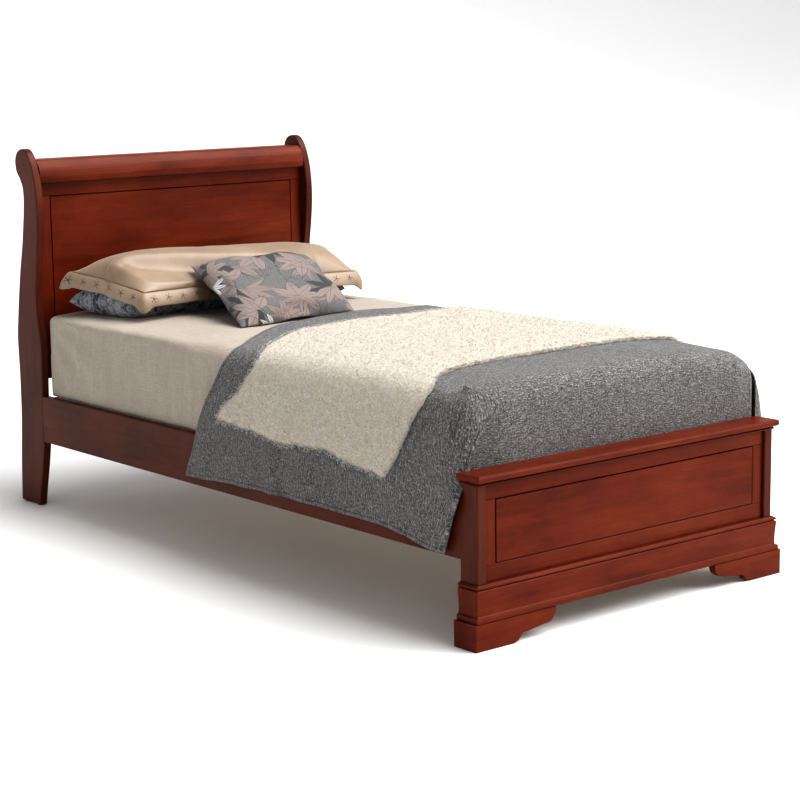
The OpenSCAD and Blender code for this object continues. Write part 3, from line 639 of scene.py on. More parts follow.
def dress_frame():
    """Gives every CAD node that stays in view its own procedural finish, with the grain along its length.
    The side rails, posts and stretcher get a copy of the cherry with painted shade and painted reflection in
    its colour.
    """
    x, y, z = 0, 1, 2
    red = [cherry(f"cherry_{letter}", axis, **RED) for axis, letter in enumerate("xyz")]
    shaded_side = [cherry(f"cherry_shaded_side_{letter}", axis, **SHADED_SIDE_CHERRY) for axis, letter in enumerate("xyz")]
    bare = [pine(f"pine_{letter}", axis) for axis, letter in enumerate("xyz")]
    steel = zinc_steel("zinc_steel")
    plastic = glide_plastic("glide_plastic")
    looks = {
        red[x]: ["headboard_top_rail", "headboard_panel", "headboard_screw_plugs", "footboard_panel",
                 "footboard_cap", "footboard_cap_moulding", "footboard_base_bead", "footboard_apron",
                 "footboard_base_moulding"] + both("bracket_foot_", SIDES)
                + both("headboard_", LEVELS, "_frame_rail") + both("footboard_", LEVELS, "_frame_rail"),
        red[z]: both("headboard_stile_", SIDES) + both("footboard_stile_", SIDES),
        # The side rails, posts and stretcher take the cherry copy with painted shade and reflection.
        shaded_side[y]: both("side_rail_", SIDES),
        shaded_side[z]: both("headboard_post_", SIDES) + both("footboard_post_", SIDES),
        shaded_side[x]: ["headboard_stretcher"],
        bare[x]: ["slats", "headboard_dowels", "footboard_dowels"],
        bare[y]: both("ledger_", SIDES),
        bare[z]: both("corner_block_", SIDES),
        steel: ["headboard_screws", "ledger_screws", "rail_hook_plates", "post_slot_plates",
                "plate_screws"],
        plastic: ["headboard_glides", "footboard_glides"],
        webbing("strap_webbing"): ["slat_straps"],
    }
    for material, names in looks.items():
        for name in names:
            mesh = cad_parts[name].data
            mesh.materials.clear()
            mesh.materials.append(material)


# ---- Mattress, foundation and fitted sheet ----

BLOCK_STEP = 0.014
WELT_RADIUS = 0.0035
WELT_HEIGHT = 0.008
FOUNDATION_INSET = 0.002
FOUNDATION_EDGE = 0.010
FOUNDATION_CORNER = 0.032
MATTRESS_INSET = np.array([0.004, 0.004, 0.002])
MATTRESS_SPARE_TOP = np.array([0, 0, 0.012])
SHEET_CLEARANCE = 0.002
TURNED_UNDER = 0.055
LINEN_THICKNESS = 0.0012


def level(x, y):
    """Points with the given X and Y on the level plane Z = 0."""
    return np.column_stack([x, y, np.zeros(len(x))])


def bed_dome(x, y):
    """How far the top of the bed is above its plain height: lower near its sides, softly uneven."""
    half = MATTRESS_HIGH[0]
    uneven = 0.0035 * wander(level(x, y), 0.42, 11)
    at_foot = 1 - ease_between(y, MATTRESS_LOW[1], MATTRESS_LOW[1] + 0.30)
    side_fall = 0.011 * np.minimum(np.abs(x) / half, 1.0) ** 4
    corner_sag = 0.010 * ease_between(np.abs(x), 0.28, half) * at_foot
    return uneven - side_fall - corner_sag


def closed_tube(name, path, radius, material):
    """A round cord that follows a closed level path."""
    sides = 10
    path = np.array(path)
    along_path = np.roll(path, -1, axis=0) - np.roll(path, 1, axis=0)
    along_path /= lengths(along_path)
    out = np.cross(along_path, UP)
    points, faces = [], []
    for k in range(sides):
        angle = 2 * math.pi * k / sides
        points.extend(path + radius * (math.cos(angle) * out + math.sin(angle) * UP))
    count = len(path)
    for k in range(sides):
        for i in range(count):
            a, b = k * count + i, k * count + (i + 1) % count
            shift = ((k + 1) % sides - k) * count
            faces.append([a, b, b + shift, a + shift])
    tube = make_mesh(name, points, faces)
    tube.data.materials.append(material)
    return tube


def piped_edge(name, low, high, corner, z, radius, material):
    """A round welt sewn round a block's outline at height z, sunk a third of its radius into the cloth."""
    half = (high - low) / 2 - radius * 0.35
    middle = (high + low) / 2
    steps = 8
    path = []
    for sx, sy, start in ((1, 1, 0), (-1, 1, 90), (-1, -1, 180), (1, -1, 270)):
        centre = middle[:2] + np.array([sx, sy]) * (half[:2] - corner)
        for step in range(steps + 1):
            angle = math.radians(start + 90 * step / steps)
            path.append((*(centre + corner * np.array([math.cos(angle), math.sin(angle)])), z))
    return closed_tube(name, path, radius, material)


def quilted_block(name, low, high, edge, corner, tuft, depth, material):
    """A padded block: crowned faces, quilted in diamonds of size tuft, its sides softly uneven."""
    points, faces = rounded_block(low, high, BLOCK_STEP, edge, min(edge, SHEET_BASE), corner)
    block = make_mesh(name, points, faces)
    normals = normals_of(block)
    u = (points[:, 0] + points[:, 1]) / tuft
    v = (points[:, 0] - points[:, 1]) / tuft
    pillow = np.minimum(np.abs(np.sin(math.pi * u)), np.abs(np.sin(math.pi * v)))
    flatness = np.abs(normals[:, 2]) ** 4
    sink = depth * (1 - ease_between(pillow, 0.0, 0.5)) * flatness
    sink += 0.0015 * (1 + wander(points, 0.09, 21)) * (1 - flatness)
    move_points(block, points - normals * sink[:, None])
    block.data.materials.append(material)
    return block


def make_foundation(material):
    low, high = FOUNDATION_LOW + FOUNDATION_INSET, FOUNDATION_HIGH - FOUNDATION_INSET
    block = quilted_block("foundation_cover", low, high, FOUNDATION_EDGE, FOUNDATION_CORNER, 0.16, 0.0012,
                          material)
    for z, end in ((low[2] + WELT_HEIGHT, "low"), (high[2] - WELT_HEIGHT, "high")):
        welt = piped_edge(f"foundation_welt_{end}", low, high, FOUNDATION_CORNER, z, WELT_RADIUS, material)
        welt.parent = block
    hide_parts("foundation")
    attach(block, "foundation_body")


def make_mattress(material):
    """Most of the mattress is under its sheet. The middle of its underside shows when it is lifted."""
    low, high = MATTRESS_LOW + MATTRESS_INSET, MATTRESS_HIGH - MATTRESS_INSET - MATTRESS_SPARE_TOP
    block = quilted_block("mattress_cover", low, high, SHEET_EDGE, SHEET_CORNER, 0.11, 0.0025, material)
    points = points_of(block)
    top = ease_between(points[:, 2], high[2] - 0.06, high[2])
    points[:, 2] += bed_dome(points[:, 0], points[:, 1]) * top
    move_points(block, points)
    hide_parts("mattress")
    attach(block, "mattress_body")


def linen_slack(points, normals, low, high, top):
    """How far the linen stands off the mattress: hanging folds, pulls at the corners, gathers at the hem.
    At the head, between the headboard's posts, it lies close."""
    side = (1 - np.abs(normals[:, 2])) * ease_between(points[:, 2], low[2], low[2] + 0.04)
    sloping = points + points[:, [2]] * [0.0, 0.25, 0.0]
    hang = wander(sloping, (0.06, 0.075, 0.55), 31) + 0.6 * wander(points, (0.03, 0.032, 0.35), 32)
    bare = ease_between(points[:, 1], from_front(0.95), from_front(1.15))
    slack = (0.003 + 0.005 * bare) * side * np.maximum(hang, -0.4)
    for corner_y, phase in ((high[1], 33), (low[1], 34)):
        away = np.hypot(points[:, 1] - corner_y, points[:, 2] - high[2])
        turn = np.arctan2(high[2] - points[:, 2], np.abs(points[:, 1] - corner_y) + 0.02)
        slack += 0.0045 * side * np.sin(turn * 13 + phase) * np.exp(-((away - 0.22) / 0.13) ** 2)
    flat = points * [1, 1, 0]
    pull = wander(flat, (0.55, 0.16, 1), 35) + 0.5 * wander(flat, (0.10, 0.30, 1), 36)
    slack += (0.001 + 0.005 * bare) * top * np.abs(pull)
    gather = ease_between(points[:, 2], low[2] + 0.008, low[2])
    slack += 0.0008 * gather * np.sin(220 * (points[:, 0] + points[:, 1]))
    return slack * (1 - 0.95 * ease_between(points[:, 1], high[1] - 0.060, high[1] - 0.018))


def make_fitted_sheet(material):
    """A fitted sheet over the mattress, turned under it, with soft folds where its corners pull."""
    low = MATTRESS_LOW - [SHEET_CLEARANCE, SHEET_CLEARANCE, 0.0]
    high = MATTRESS_HIGH + SHEET_CLEARANCE
    points, faces = rounded_block(low, high, 0.010, SHEET_EDGE, SHEET_BASE, SHEET_CORNER)
    middle, half = (low[:2] + high[:2]) / 2, (high[:2] - low[:2]) / 2

    def kept(face):
        centre = points[face].mean(axis=0)
        rim = np.max(np.abs(centre[:2] - middle) - half)
        return centre[2] > low[2] + 0.002 or rim > -TURNED_UNDER

    used, faces = without_spare([face for face in faces if kept(face)])
    points = points[used]
    sheet = make_mesh("linen_fitted_sheet", points, faces)
    normals = normals_of(sheet)
    top = ease_between(points[:, 2], high[2] - 0.07, high[2])
    points = points + normals * linen_slack(points, normals, low, high, top)[:, None]
    points[:, 2] += bed_dome(points[:, 0], points[:, 1]) * top
    move_points(sheet, points)
    thicken(sheet, LINEN_THICKNESS, -1.0)
    sheet.data.materials.append(material)
    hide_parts("fitted_sheet")
    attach(sheet, "mattress_body")


# ---- Coverlet and throw: cloth spread over the bed ----

SHOULDER = 0.046
QUARTER = SHOULDER * math.pi / 2
HANG_X = MATTRESS_HIGH[0] + 0.006
HANG_OUT = RAIL_OUTSIDE + 0.004
FLAT_HALF = HANG_X - SHOULDER
FOOT_Y = CAP_BACK + 0.009
FOOT_TURN = FOOT_Y + SHOULDER

# How far cloth stands out at the right of the foot, by its drop below the top of the bed.
FLARE = [(0.0, 0.0), (0.010, 0.006), (0.023, 0.017), (0.048, 0.031), (0.068, 0.036), (0.115, 0.045),
         (0.181, 0.047), (0.250, 0.042), (0.400, 0.034)]

COVERLET_LEFT, COVERLET_RIGHT = -0.831, 0.840
COVERLET_TUCK = 0.20
COVERLET_STEP = 0.012
COVERLET_ROWS = 116
COVERLET_THICKNESS = 0.004
FOOT_RIGHT = FLAT_HALF + 0.050
FOOT_RUN = QUARTER + COVERLET_TUCK
PAST_ROWS = 26
# The head hem's distance behind the bed's front, by the place across the cloth.
COVERLET_HEAD = [(-0.844, 1.234), (-0.733, 1.172), (-0.633, 1.135), (-0.520, 1.066), (-0.470, 1.030),
                 (-0.398, 1.102), (-0.173, 1.269), (0.176, 1.354), (0.337, 1.321), (0.500, 1.345),
                 (0.900, 1.385)]
# How much the side hems rise, by the distance behind the bed's front.
COVERLET_HEM = [(0.16, -0.016), (0.311, 0.002), (0.483, 0.001), (0.848, 0.007), (1.023, 0.0),
                (1.235, -0.013)]

# The foot corners of the coverlet, each by its drop below the top of the bed: how far back the corner's
# turn begins, how tight the turn is, and how far the cloth runs on past its beginning.
LEFT_BEGIN = [(0.0, FOOT_TURN), (0.060, FOOT_TURN), (0.160, FOOT_TURN - 0.002), (0.190, FOOT_TURN - 0.022),
              (0.224, FOOT_TURN - 0.054), (0.278, FOOT_TURN - 0.029), (0.328, FOOT_TURN - 0.015),
              (0.373, FOOT_TURN + 0.006), (0.395, FOOT_TURN + 0.024)]
LEFT_RADIUS = [(0.0, SHOULDER + 0.006), (0.160, SHOULDER + 0.006), (0.190, 0.036), (0.215, 0.010),
               (0.230, 0.004)]
LEFT_RUN = [(0.0, 0.086), (0.012, 0.115), (0.025, 0.148), (0.038, 0.146), (0.065, 0.100), (0.104, 0.076),
            (0.174, 0.056), (0.198, 0.030), (0.224, 0.004)]
LEFT_LAP = 0.007
RIGHT_BEGIN = [(0.0, FOOT_TURN), (0.030, FOOT_TURN - 0.002), (0.060, FOOT_TURN - 0.021)]
RIGHT_RADIUS = 0.030
RIGHT_RUN = [(0.020, 0.001), (0.050, 0.004), (0.068, 0.025), (0.115, 0.050), (0.181, 0.062),
             (0.400, 0.050)]
PLEAT_TURNS = np.radians([0, 14, 28, 42, 56])

THROW_LEFT, THROW_RIGHT = -0.690, 0.700
THROW_STEP = 0.0062
THROW_ROWS = 138
THROW_THICKNESS = 0.0085
# The foot and head hems' distance behind the bed's front, by the place across the cloth.
THROW_FOOT = [(-0.706, 0.351), (-0.656, 0.305), (-0.576, 0.266), (-0.524, 0.236), (-0.480, 0.201),
              (-0.424, 0.275), (-0.318, 0.314), (-0.224, 0.325), (0.134, 0.336), (0.340, 0.345),
              (0.520, 0.315), (0.700, 0.330)]
THROW_HEAD = [(-0.690, 1.045), (-0.658, 1.045), (-0.588, 0.964), (-0.547, 0.936), (-0.490, 0.893),
              (-0.439, 0.950), (-0.356, 1.011), (-0.236, 1.091), (0.008, 1.141), (0.212, 1.130),
              (0.447, 1.180), (0.700, 1.130)]
# How much the left hem rises, by the distance behind the bed's front.
THROW_HEM = [(0.351, -0.016), (0.482, -0.003), (0.579, 0.018), (0.762, 0.007), (0.904, 0.022),
             (1.045, 0.032)]


def over_side(across, lift):
    """Cloth laid over the side of the bed, across being measured over it from the bed's middle line.
    Gives its X without a sign, its drop below the top, and how much of the turn downwards it has made."""
    reach = np.abs(across)
    turn = np.clip((reach - FLAT_HALF) / QUARTER, 0, 1)
    x = np.minimum(reach, FLAT_HALF) + (SHOULDER + lift) * np.sin(turn * math.pi / 2)
    drop = (SHOULDER + lift) * (1 - np.cos(turn * math.pi / 2)) + np.maximum(reach - FLAT_HALF - QUARTER, 0)
    x += (HANG_OUT - HANG_X) * ease_between(drop, 0.02, SHEET_TOP - RAIL_TOP - 0.01)
    return x, drop, turn


def hanging_share(drop):
    """0 at the shoulder and above it, and 1 at the lowest hem."""
    return np.maximum(drop - SHOULDER, 0) / (drop.max() - SHOULDER)


def spread(across, lengthways, lift):
    """Where cloth lies that is spread over the bed. It stands out at the right of the foot."""
    x, drop, _ = over_side(across, lift)
    flare = soft_line(FLARE, drop, 0.008)
    x += flare * (across > 0) * (1 - ease_between(lengthways, FOOT_TURN, FOOT_TURN + 0.34))
    z = SHEET_TOP + lift + bed_dome(np.minimum(x, HANG_X), lengthways) - drop
    return np.column_stack([np.sign(across) * x, lengthways, z])


def foot_part(start, across, past):
    """The coverlet past the foot's edge: down between the mattress and the footboard."""
    _, _, turn = over_side(across, COVERLET_LIFT)
    angle = np.minimum(past / SHOULDER, math.pi / 2)
    drawn_in = 0.011 * ease_between(-across, FLAT_HALF - 0.11, FLAT_HALF) * ease_between(past, 0.03, 0.10)
    radius = SHOULDER + COVERLET_LIFT
    result = start.copy()
    result[:, 1] += drawn_in - radius * np.sin(angle) + 0.010 * turn * np.sin(angle)
    result[:, 2] -= radius * (1 - np.cos(angle)) + np.maximum(past - QUARTER, 0)
    return result


def corner_part(start, across, past, radius, lap):
    """A side drop of the coverlet past the mattress's corner. It goes over the foot's cloth by lap."""
    _, _, turn = over_side(across, COVERLET_LIFT)
    tilt = turn * math.pi / 2
    round_by = radius * np.sin(tilt)
    angle = np.minimum(past / np.maximum(radius, 1e-6), math.pi / 2)
    rest = np.maximum(past - radius * math.pi / 2, 0)
    share = past / np.maximum(past.max(), 1e-6)
    on_top = lap * (ease_between(angle, 0.4, 1.3) + 1.3 * ease_between(share, 0.5, 1.0))
    inward = round_by * (1 - np.cos(angle)) + rest
    result = start.copy()
    result[:, 0] -= np.sign(across) * inward
    result[:, 1] -= round_by * np.sin(angle) + on_top * np.sin(tilt)
    result[:, 2] += on_top * np.cos(tilt)
    return result


def corner_shape(across, drop):
    """How far a side drop runs past its corner's beginning, the radius of the corner, and its lap."""
    if across < 0:
        return soft_line(LEFT_RUN, drop, 0.008), soft_line(LEFT_RADIUS, drop, 0.006), LEFT_LAP
    return soft_line(RIGHT_RUN, drop, 0.008), RIGHT_RADIUS, 0.0


def cloth_faces(shape, kept=lambda column, row: True):
    """Squares between neighbouring points of a grid of cloth, where kept(column, row) is true."""
    index = np.arange(shape[0] * shape[1]).reshape(shape)
    return [[int(k) for k in (index[i, j], index[i + 1, j], index[i + 1, j + 1], index[i, j + 1])]
            for i in range(shape[0] - 1) for j in range(shape[1] - 1) if kept(i, j)]


def coverlet_columns():
    """The places across the cloth of the coverlet's columns, and which of them bound the foot's cloth."""
    bounds = (COVERLET_LEFT, -FLAT_HALF, FOOT_RIGHT, COVERLET_RIGHT)
    left, foot, right = (np.linspace(low, high, math.ceil((high - low) / COVERLET_STEP))
                         for low, high in zip(bounds, bounds[1:]))
    across = np.concatenate([left, foot[1:], right[1:]])
    return across, len(left) - 1, len(left) + len(foot) - 2


def coverlet_on_bed(across):
    """The part on the bed's top and sides: its places, how far along the cloth they are, and each column's
    drop below the top."""
    head = from_front(soft_line(COVERLET_HEAD, across, 0.04))
    columns = np.repeat(across[:, None], COVERLET_ROWS, axis=1)
    along_cloth = FOOT_TURN + (head[:, None] - FOOT_TURN) * np.linspace(0, 1, COVERLET_ROWS)
    a, b = columns.ravel(), along_cloth.ravel()
    flat = level(a, b)
    _, drop, turn = over_side(a, COVERLET_LIFT)
    hanging = hanging_share(drop)
    places = spread(a, b, COVERLET_LIFT)
    begin = np.where(a < 0, soft_line(LEFT_BEGIN, drop, 0.012), soft_line(RIGHT_BEGIN, drop, 0.012))
    places[:, 1] += (begin - FOOT_TURN) * (turn > 0) * (1 - ease_between(b, FOOT_TURN, FOOT_TURN + 0.28))
    places[:, 2] += soft_line(COVERLET_HEM, b - BED_FRONT, 0.05) * hanging
    fold = wander(flat, (0.9, 0.13, 1), 41) + 0.5 * wander(flat, (0.5, 0.06, 1), 42)
    places[:, 0] += np.sign(places[:, 0]) * np.maximum(fold, -0.15) * 0.014 * hanging ** 1.3
    crease = wander(flat, (0.14, 0.22, 1), 43) + 0.5 * wander(flat, (0.05, 0.08, 1), 44)
    places[:, 2] += 0.0018 * np.maximum(crease, -0.3) * (turn == 0)
    return places.reshape(*columns.shape, 3), along_cloth, drop.reshape(columns.shape)[:, 0]


def coverlet_past_foot(across, on_bed, drops, left, right):
    """The part past the foot's edge: its places, and how far past the edge they are along the cloth."""
    shares = np.linspace(1, 0, PAST_ROWS + 1)[:-1]
    places, pasts = [], []
    for i, column in enumerate(across):
        start = np.repeat(on_bed[i, :1], PAST_ROWS, axis=0)
        place = np.full(PAST_ROWS, column)
        if left < i <= right:
            past = FOOT_RUN * shares
            places.append(foot_part(start, place, past))
        else:
            run, radius, lap = corner_shape(column, drops[i])
            past = run * shares
            places.append(corner_part(start, place, past, radius, lap))
        pasts.append(past)
    return np.array(places), np.array(pasts)


def coverlet_pleat(start):
    """The foot's cloth goes on from start round the mattress's left corner, behind the side drop."""
    past = FOOT_RUN * np.linspace(1, 0, PAST_ROWS + 1)
    rows = len(past)
    edge = foot_part(np.repeat(start, rows, axis=0), np.full(rows, -FLAT_HALF), past)
    angle = np.minimum(past / SHOULDER, math.pi / 2)
    strip = []
    for turn in PLEAT_TURNS:
        radius = (SHOULDER + COVERLET_LIFT - 0.003 * math.sin(turn)) * np.sin(angle)
        column = edge.copy()
        column[:, 0] -= radius * math.sin(turn)
        column[:, 1] += radius * (1 - math.cos(turn))
        strip.append(column)
    faces = []
    for i in range(len(PLEAT_TURNS) - 1):
        for j in range(rows - 1):
            a = i * rows + j
            faces.append([a, a + 1, a + rows + 1, a + rows])
    cloth = np.column_stack([np.repeat(-FLAT_HALF - SHOULDER * PLEAT_TURNS, rows),
                             np.tile(FOOT_TURN - past, len(PLEAT_TURNS))])
    return np.concatenate(strip), cloth, faces


def make_coverlet(material):
    """The coverlet lies aslant at its head end, hangs outside both rails, and is tucked in at the foot."""
    across, left, right = coverlet_columns()
    on_bed, along_cloth, drops = coverlet_on_bed(across)
    past_foot, past = coverlet_past_foot(across, on_bed, drops, left, right)
    places = np.concatenate([past_foot, on_bed], axis=1)
    columns, rows = places.shape[:2]
    cloth = np.stack([np.repeat(across[:, None], rows, axis=1),
                      np.concatenate([FOOT_TURN - past, along_cloth], axis=1)], axis=-1)
    faces = cloth_faces((columns, rows), lambda i, j: j >= PAST_ROWS or i not in (left, right))

    # The foot's cloth starts from the left end of the top, so it has its own first column there.
    pleat, pleat_cloth, pleat_faces = coverlet_pleat(on_bed[left, :1])
    first, beside = columns * rows, (left + 1) * rows
    faces += [[i + first for i in face] for face in pleat_faces]
    faces += [[first + j + 1, first + j, beside + j, beside + j + 1] for j in range(PAST_ROWS)]
    used, faces = without_spare(faces)
    places = np.concatenate([places.reshape(-1, 3), pleat])[used]
    cloth = np.concatenate([cloth.reshape(-1, 2), pleat_cloth])[used]

    coverlet = make_mesh("woven_coverlet", places, faces, cloth)
    add_value(coverlet, "edge", edge_distance(places, border_points(faces)))
    thicken(coverlet, COVERLET_THICKNESS)
    subdivide(coverlet)
    coverlet.data.materials.append(material)
    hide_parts("coverlet")
    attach(coverlet, "mattress_body")


def curl_tufts(name, roots, normals, count, length, seed, material):
    """Short curled fibres: each one is a thin three-sided tube that bends over as it rises from its root."""
    rng = np.random.default_rng(seed)
    picks = rng.integers(0, len(roots), count)
    points, faces = [], []
    for pick in picks:
        up = normals[pick]
        lean = rng.normal(size=3)
        lean -= up * lean.dot(up)
        lean /= np.linalg.norm(lean)
        side = np.cross(up, lean)
        size = length * rng.uniform(0.6, 1.3)
        root = roots[pick] + lean * rng.uniform(-0.004, 0.004) + side * rng.uniform(-0.004, 0.004)
        first = len(points)
        for k in range(4):
            bend = 2.4 * k / 3
            centre = root + size * (0.45 * math.sin(bend) * up + 0.45 * (1 - math.cos(bend)) * lean)
            width = 0.0007 * (1 - 0.2 * k)
            for corner in range(3):
                angle = 2 * math.pi * corner / 3
                points.append(centre + width * (math.cos(angle) * side + math.sin(angle) * up))
        for k in range(3):
            for corner in range(3):
                a = first + 3 * k + corner
                b = first + 3 * k + (corner + 1) % 3
                faces.append([a, b, b + 3, a + 3])
        faces.append([first + 2, first + 1, first])
        faces.append([first + 9, first + 10, first + 11])
    tufts = make_mesh(name, points, faces)
    tufts.data.materials.append(material)
    return tufts


def throw_cloth():
    """The throw as a smooth cloth on the bed: its places, the uncut cloth, and its faces."""
    across = np.arange(THROW_LEFT, THROW_RIGHT + THROW_STEP / 2, THROW_STEP)
    foot, head = soft_line(THROW_FOOT, across, 0.03), soft_line(THROW_HEAD, across, 0.03)
    share = np.linspace(0, 1, THROW_ROWS)
    a = np.repeat(across[:, None], THROW_ROWS, axis=1)
    b = from_front(foot[:, None] + (head - foot)[:, None] * share)
    shape = a.shape
    flat = level(a.ravel(), b.ravel())
    ragged = 0.004 * wander(flat, 0.02, 51).reshape(shape)
    b = (b + ragged * (np.abs(share - 0.5) * 2) ** 8).ravel()
    a = (a + ragged * (np.abs(a) / np.abs(a).max()) ** 12).ravel()
    places = spread(a, b, THROW_LIFT)
    _, drop, _ = over_side(a, THROW_LIFT)
    hanging = hanging_share(drop)
    fold = wander(flat, (0.8, 0.12, 1), 52)
    places[:, 0] += np.sign(places[:, 0]) * 0.010 * hanging * np.maximum(fold, -0.2)
    places[:, 2] += soft_line(THROW_HEM, b - BED_FRONT, 0.03) * hanging * (places[:, 0] < 0)
    return places, np.column_stack([a, b]), cloth_faces(shape)


def make_throw(material, curl_material):
    """A bouclé throw lying across the coverlet and over both sides of the bed, further on the left."""
    places, cloth, faces = throw_cloth()
    throw = make_mesh("boucle_throw", places, faces, cloth)
    normals = normals_of(throw)
    border = border_points(faces)
    plump = ease_between(edge_distance(places, border), 0.0, 0.014)
    lumps = np.abs(wander(places, 0.011, 53)) + 0.8 * np.abs(wander(places, 0.0065, 54))
    height = 0.0042 * (lumps - 0.35) - 0.0045 * (1 - plump)
    places = places + normals * height[:, None]
    move_points(throw, places)
    thicken(throw, THROW_THICKNESS, -1.0)
    throw.data.materials.append(material)
    edge = curl_tufts("throw_edge_curls", places[border], normals[border], 3000, 0.010, 55, curl_material)
    curls = curl_tufts("throw_curls", places, normals, 6500, 0.008, 56, curl_material)
    edge.parent = curls.parent = throw
    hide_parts("throw_blanket")
    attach(throw, "mattress_body")


# ---- Pillows ----

# Each pillow's corners: front left, front right, back right, back left. Every one is given as X, distance
# behind the bed's front, and height above the fitted sheet.
SLATE_CORNERS = [(-0.405, 1.672, 0.032), (0.400, 1.668, 0.028),
                 (0.440, 1.975, 0.032), (-0.448, 1.965, 0.040)]
TAN_CORNERS = [(-0.372, 1.648, 0.083), (0.418, 1.640, 0.083),
               (0.448, 1.930, 0.092), (-0.455, 1.930, 0.130)]
ACCENT_CORNERS = [(-0.283, 1.283, 0.006), (0.172, 1.335, 0.008),
                  (0.264, 1.690, 0.140), (-0.168, 1.712, 0.142)]
PILLOW_STEP = 0.012
SIMULATED_FRAMES = 24
CLOTH_SETTINGS = dict(quality=7, mass=0.25, tension_stiffness=14, compression_stiffness=9, shear_stiffness=6,
                      bending_stiffness=0.35, air_damping=3, use_pressure=True)
FLANGE_WIDTH = 0.047
FLANGE_STEPS = 8
FLANGE_THICKNESS = 0.0022


class Pillow:
    """Two layers of cloth joined round the edge, blown up by cloth simulation, then laid on four corners."""

    def __init__(self, name, width, length, pressure, cap, passes):
        self.name, self.width, self.length = name, width, length
        self.pressure, self.cap, self.passes = pressure, cap, passes
        self.nx, self.ny = round(width / PILLOW_STEP), round(length / PILLOW_STEP)
        self.obj = self.build()

    def build(self):
        points, faces, flat = [], [], []
        index = {}
        for layer in (1, -1):
            for i in range(self.nx + 1):
                for j in range(self.ny + 1):
                    rim = i in (0, self.nx) or j in (0, self.ny)
                    if rim and layer < 0:
                        index[layer, i, j] = index[1, i, j]
                        continue
                    u, v = i / self.nx * 2 - 1, j / self.ny * 2 - 1
                    rise = 0.012 * (1 - u ** 4) * (1 - v ** 4)
                    index[layer, i, j] = len(points)
                    points.append((u * self.width / 2, v * self.length / 2, layer * rise))
                    flat.append((u * self.width / 2, v * self.length / 2))
            for i in range(self.nx):
                for j in range(self.ny):
                    quad = [index[layer, i + di, j + dj] for di, dj in ((0, 0), (1, 0), (1, 1), (0, 1))]
                    faces.append(quad if layer > 0 else quad[::-1])
        self.rim = ([index[1, i, 0] for i in range(self.nx)]
                    + [index[1, self.nx, j] for j in range(self.ny)]
                    + [index[1, i, self.ny] for i in range(self.nx, 0, -1)]
                    + [index[1, 0, j] for j in range(self.ny, 0, -1)])
        self.start = np.array(points)
        return make_mesh(self.name, points, faces, flat)

    def corner_places(self):
        """Where the four corners come in the list of seam points."""
        return [0, self.nx, self.nx + self.ny, 2 * self.nx + self.ny]

    def corners(self):
        return [self.rim[place] for place in self.corner_places()]

    def sides(self):
        """The seam points of the front, right, back and left sides, each from corner to corner."""
        places = self.corner_places() + [len(self.rim)]
        loop = self.rim + self.rim[:1]
        return [np.array(loop[a:b + 1]) for a, b in zip(places, places[1:])]

    def add_cloth(self):
        self.cloth = self.obj.modifiers.new("cloth", "CLOTH")
        for name, value in CLOTH_SETTINGS.items():
            setattr(self.cloth.settings, name, value)
        self.cloth.settings.uniform_pressure_force = self.pressure
        self.cloth.settings.effector_weights.gravity = 0
        self.cloth.collision_settings.use_collision = False

    def settle(self):
        """Keeps the simulated shape, with no point moved further than the cap."""
        graph = bpy.context.evaluated_depsgraph_get()
        move = points_of(self.obj.evaluated_get(graph)) - self.start
        far = lengths(move)
        self.shape = self.start + move * np.minimum(1, self.cap / np.maximum(far, 1e-9))
        self.obj.modifiers.remove(self.cloth)

    def smooth(self):
        """Evens out creases in the shape, and leaves the seam as it is."""
        edges = np.array([edge.vertices[:] for edge in self.obj.data.edges])
        ends = np.concatenate([edges, edges[:, ::-1]])
        count = np.bincount(ends[:, 0], minlength=len(self.shape))[:, None]
        for _ in range(self.passes):
            total = np.zeros_like(self.shape)
            np.add.at(total, ends[:, 0], self.shape[ends[:, 1]])
            even = total / count
            even[self.rim] = self.shape[self.rim]
            self.shape = even


def bed_points(places):
    """Places given as X, distance behind the bed's front, and height above the fitted sheet."""
    return np.array([(x, from_front(y), SHEET_TOP + height) for x, y, height in places])


def straightened(value, other, low_side, high_side, share):
    """Moves points so that two opposite seams, which run along other, come closer to straight lines at 0 and
    1, by share of the way."""
    ends = []
    for side in (low_side, high_side):
        order = np.argsort(other[side])
        ends.append(np.interp(other, other[side][order], value[side][order]))
    low, high = ends
    new_low, new_high = low * (1 - share), 1 - (1 - high) * (1 - share)
    return new_low + (value - low) / (high - low) * (new_high - new_low)


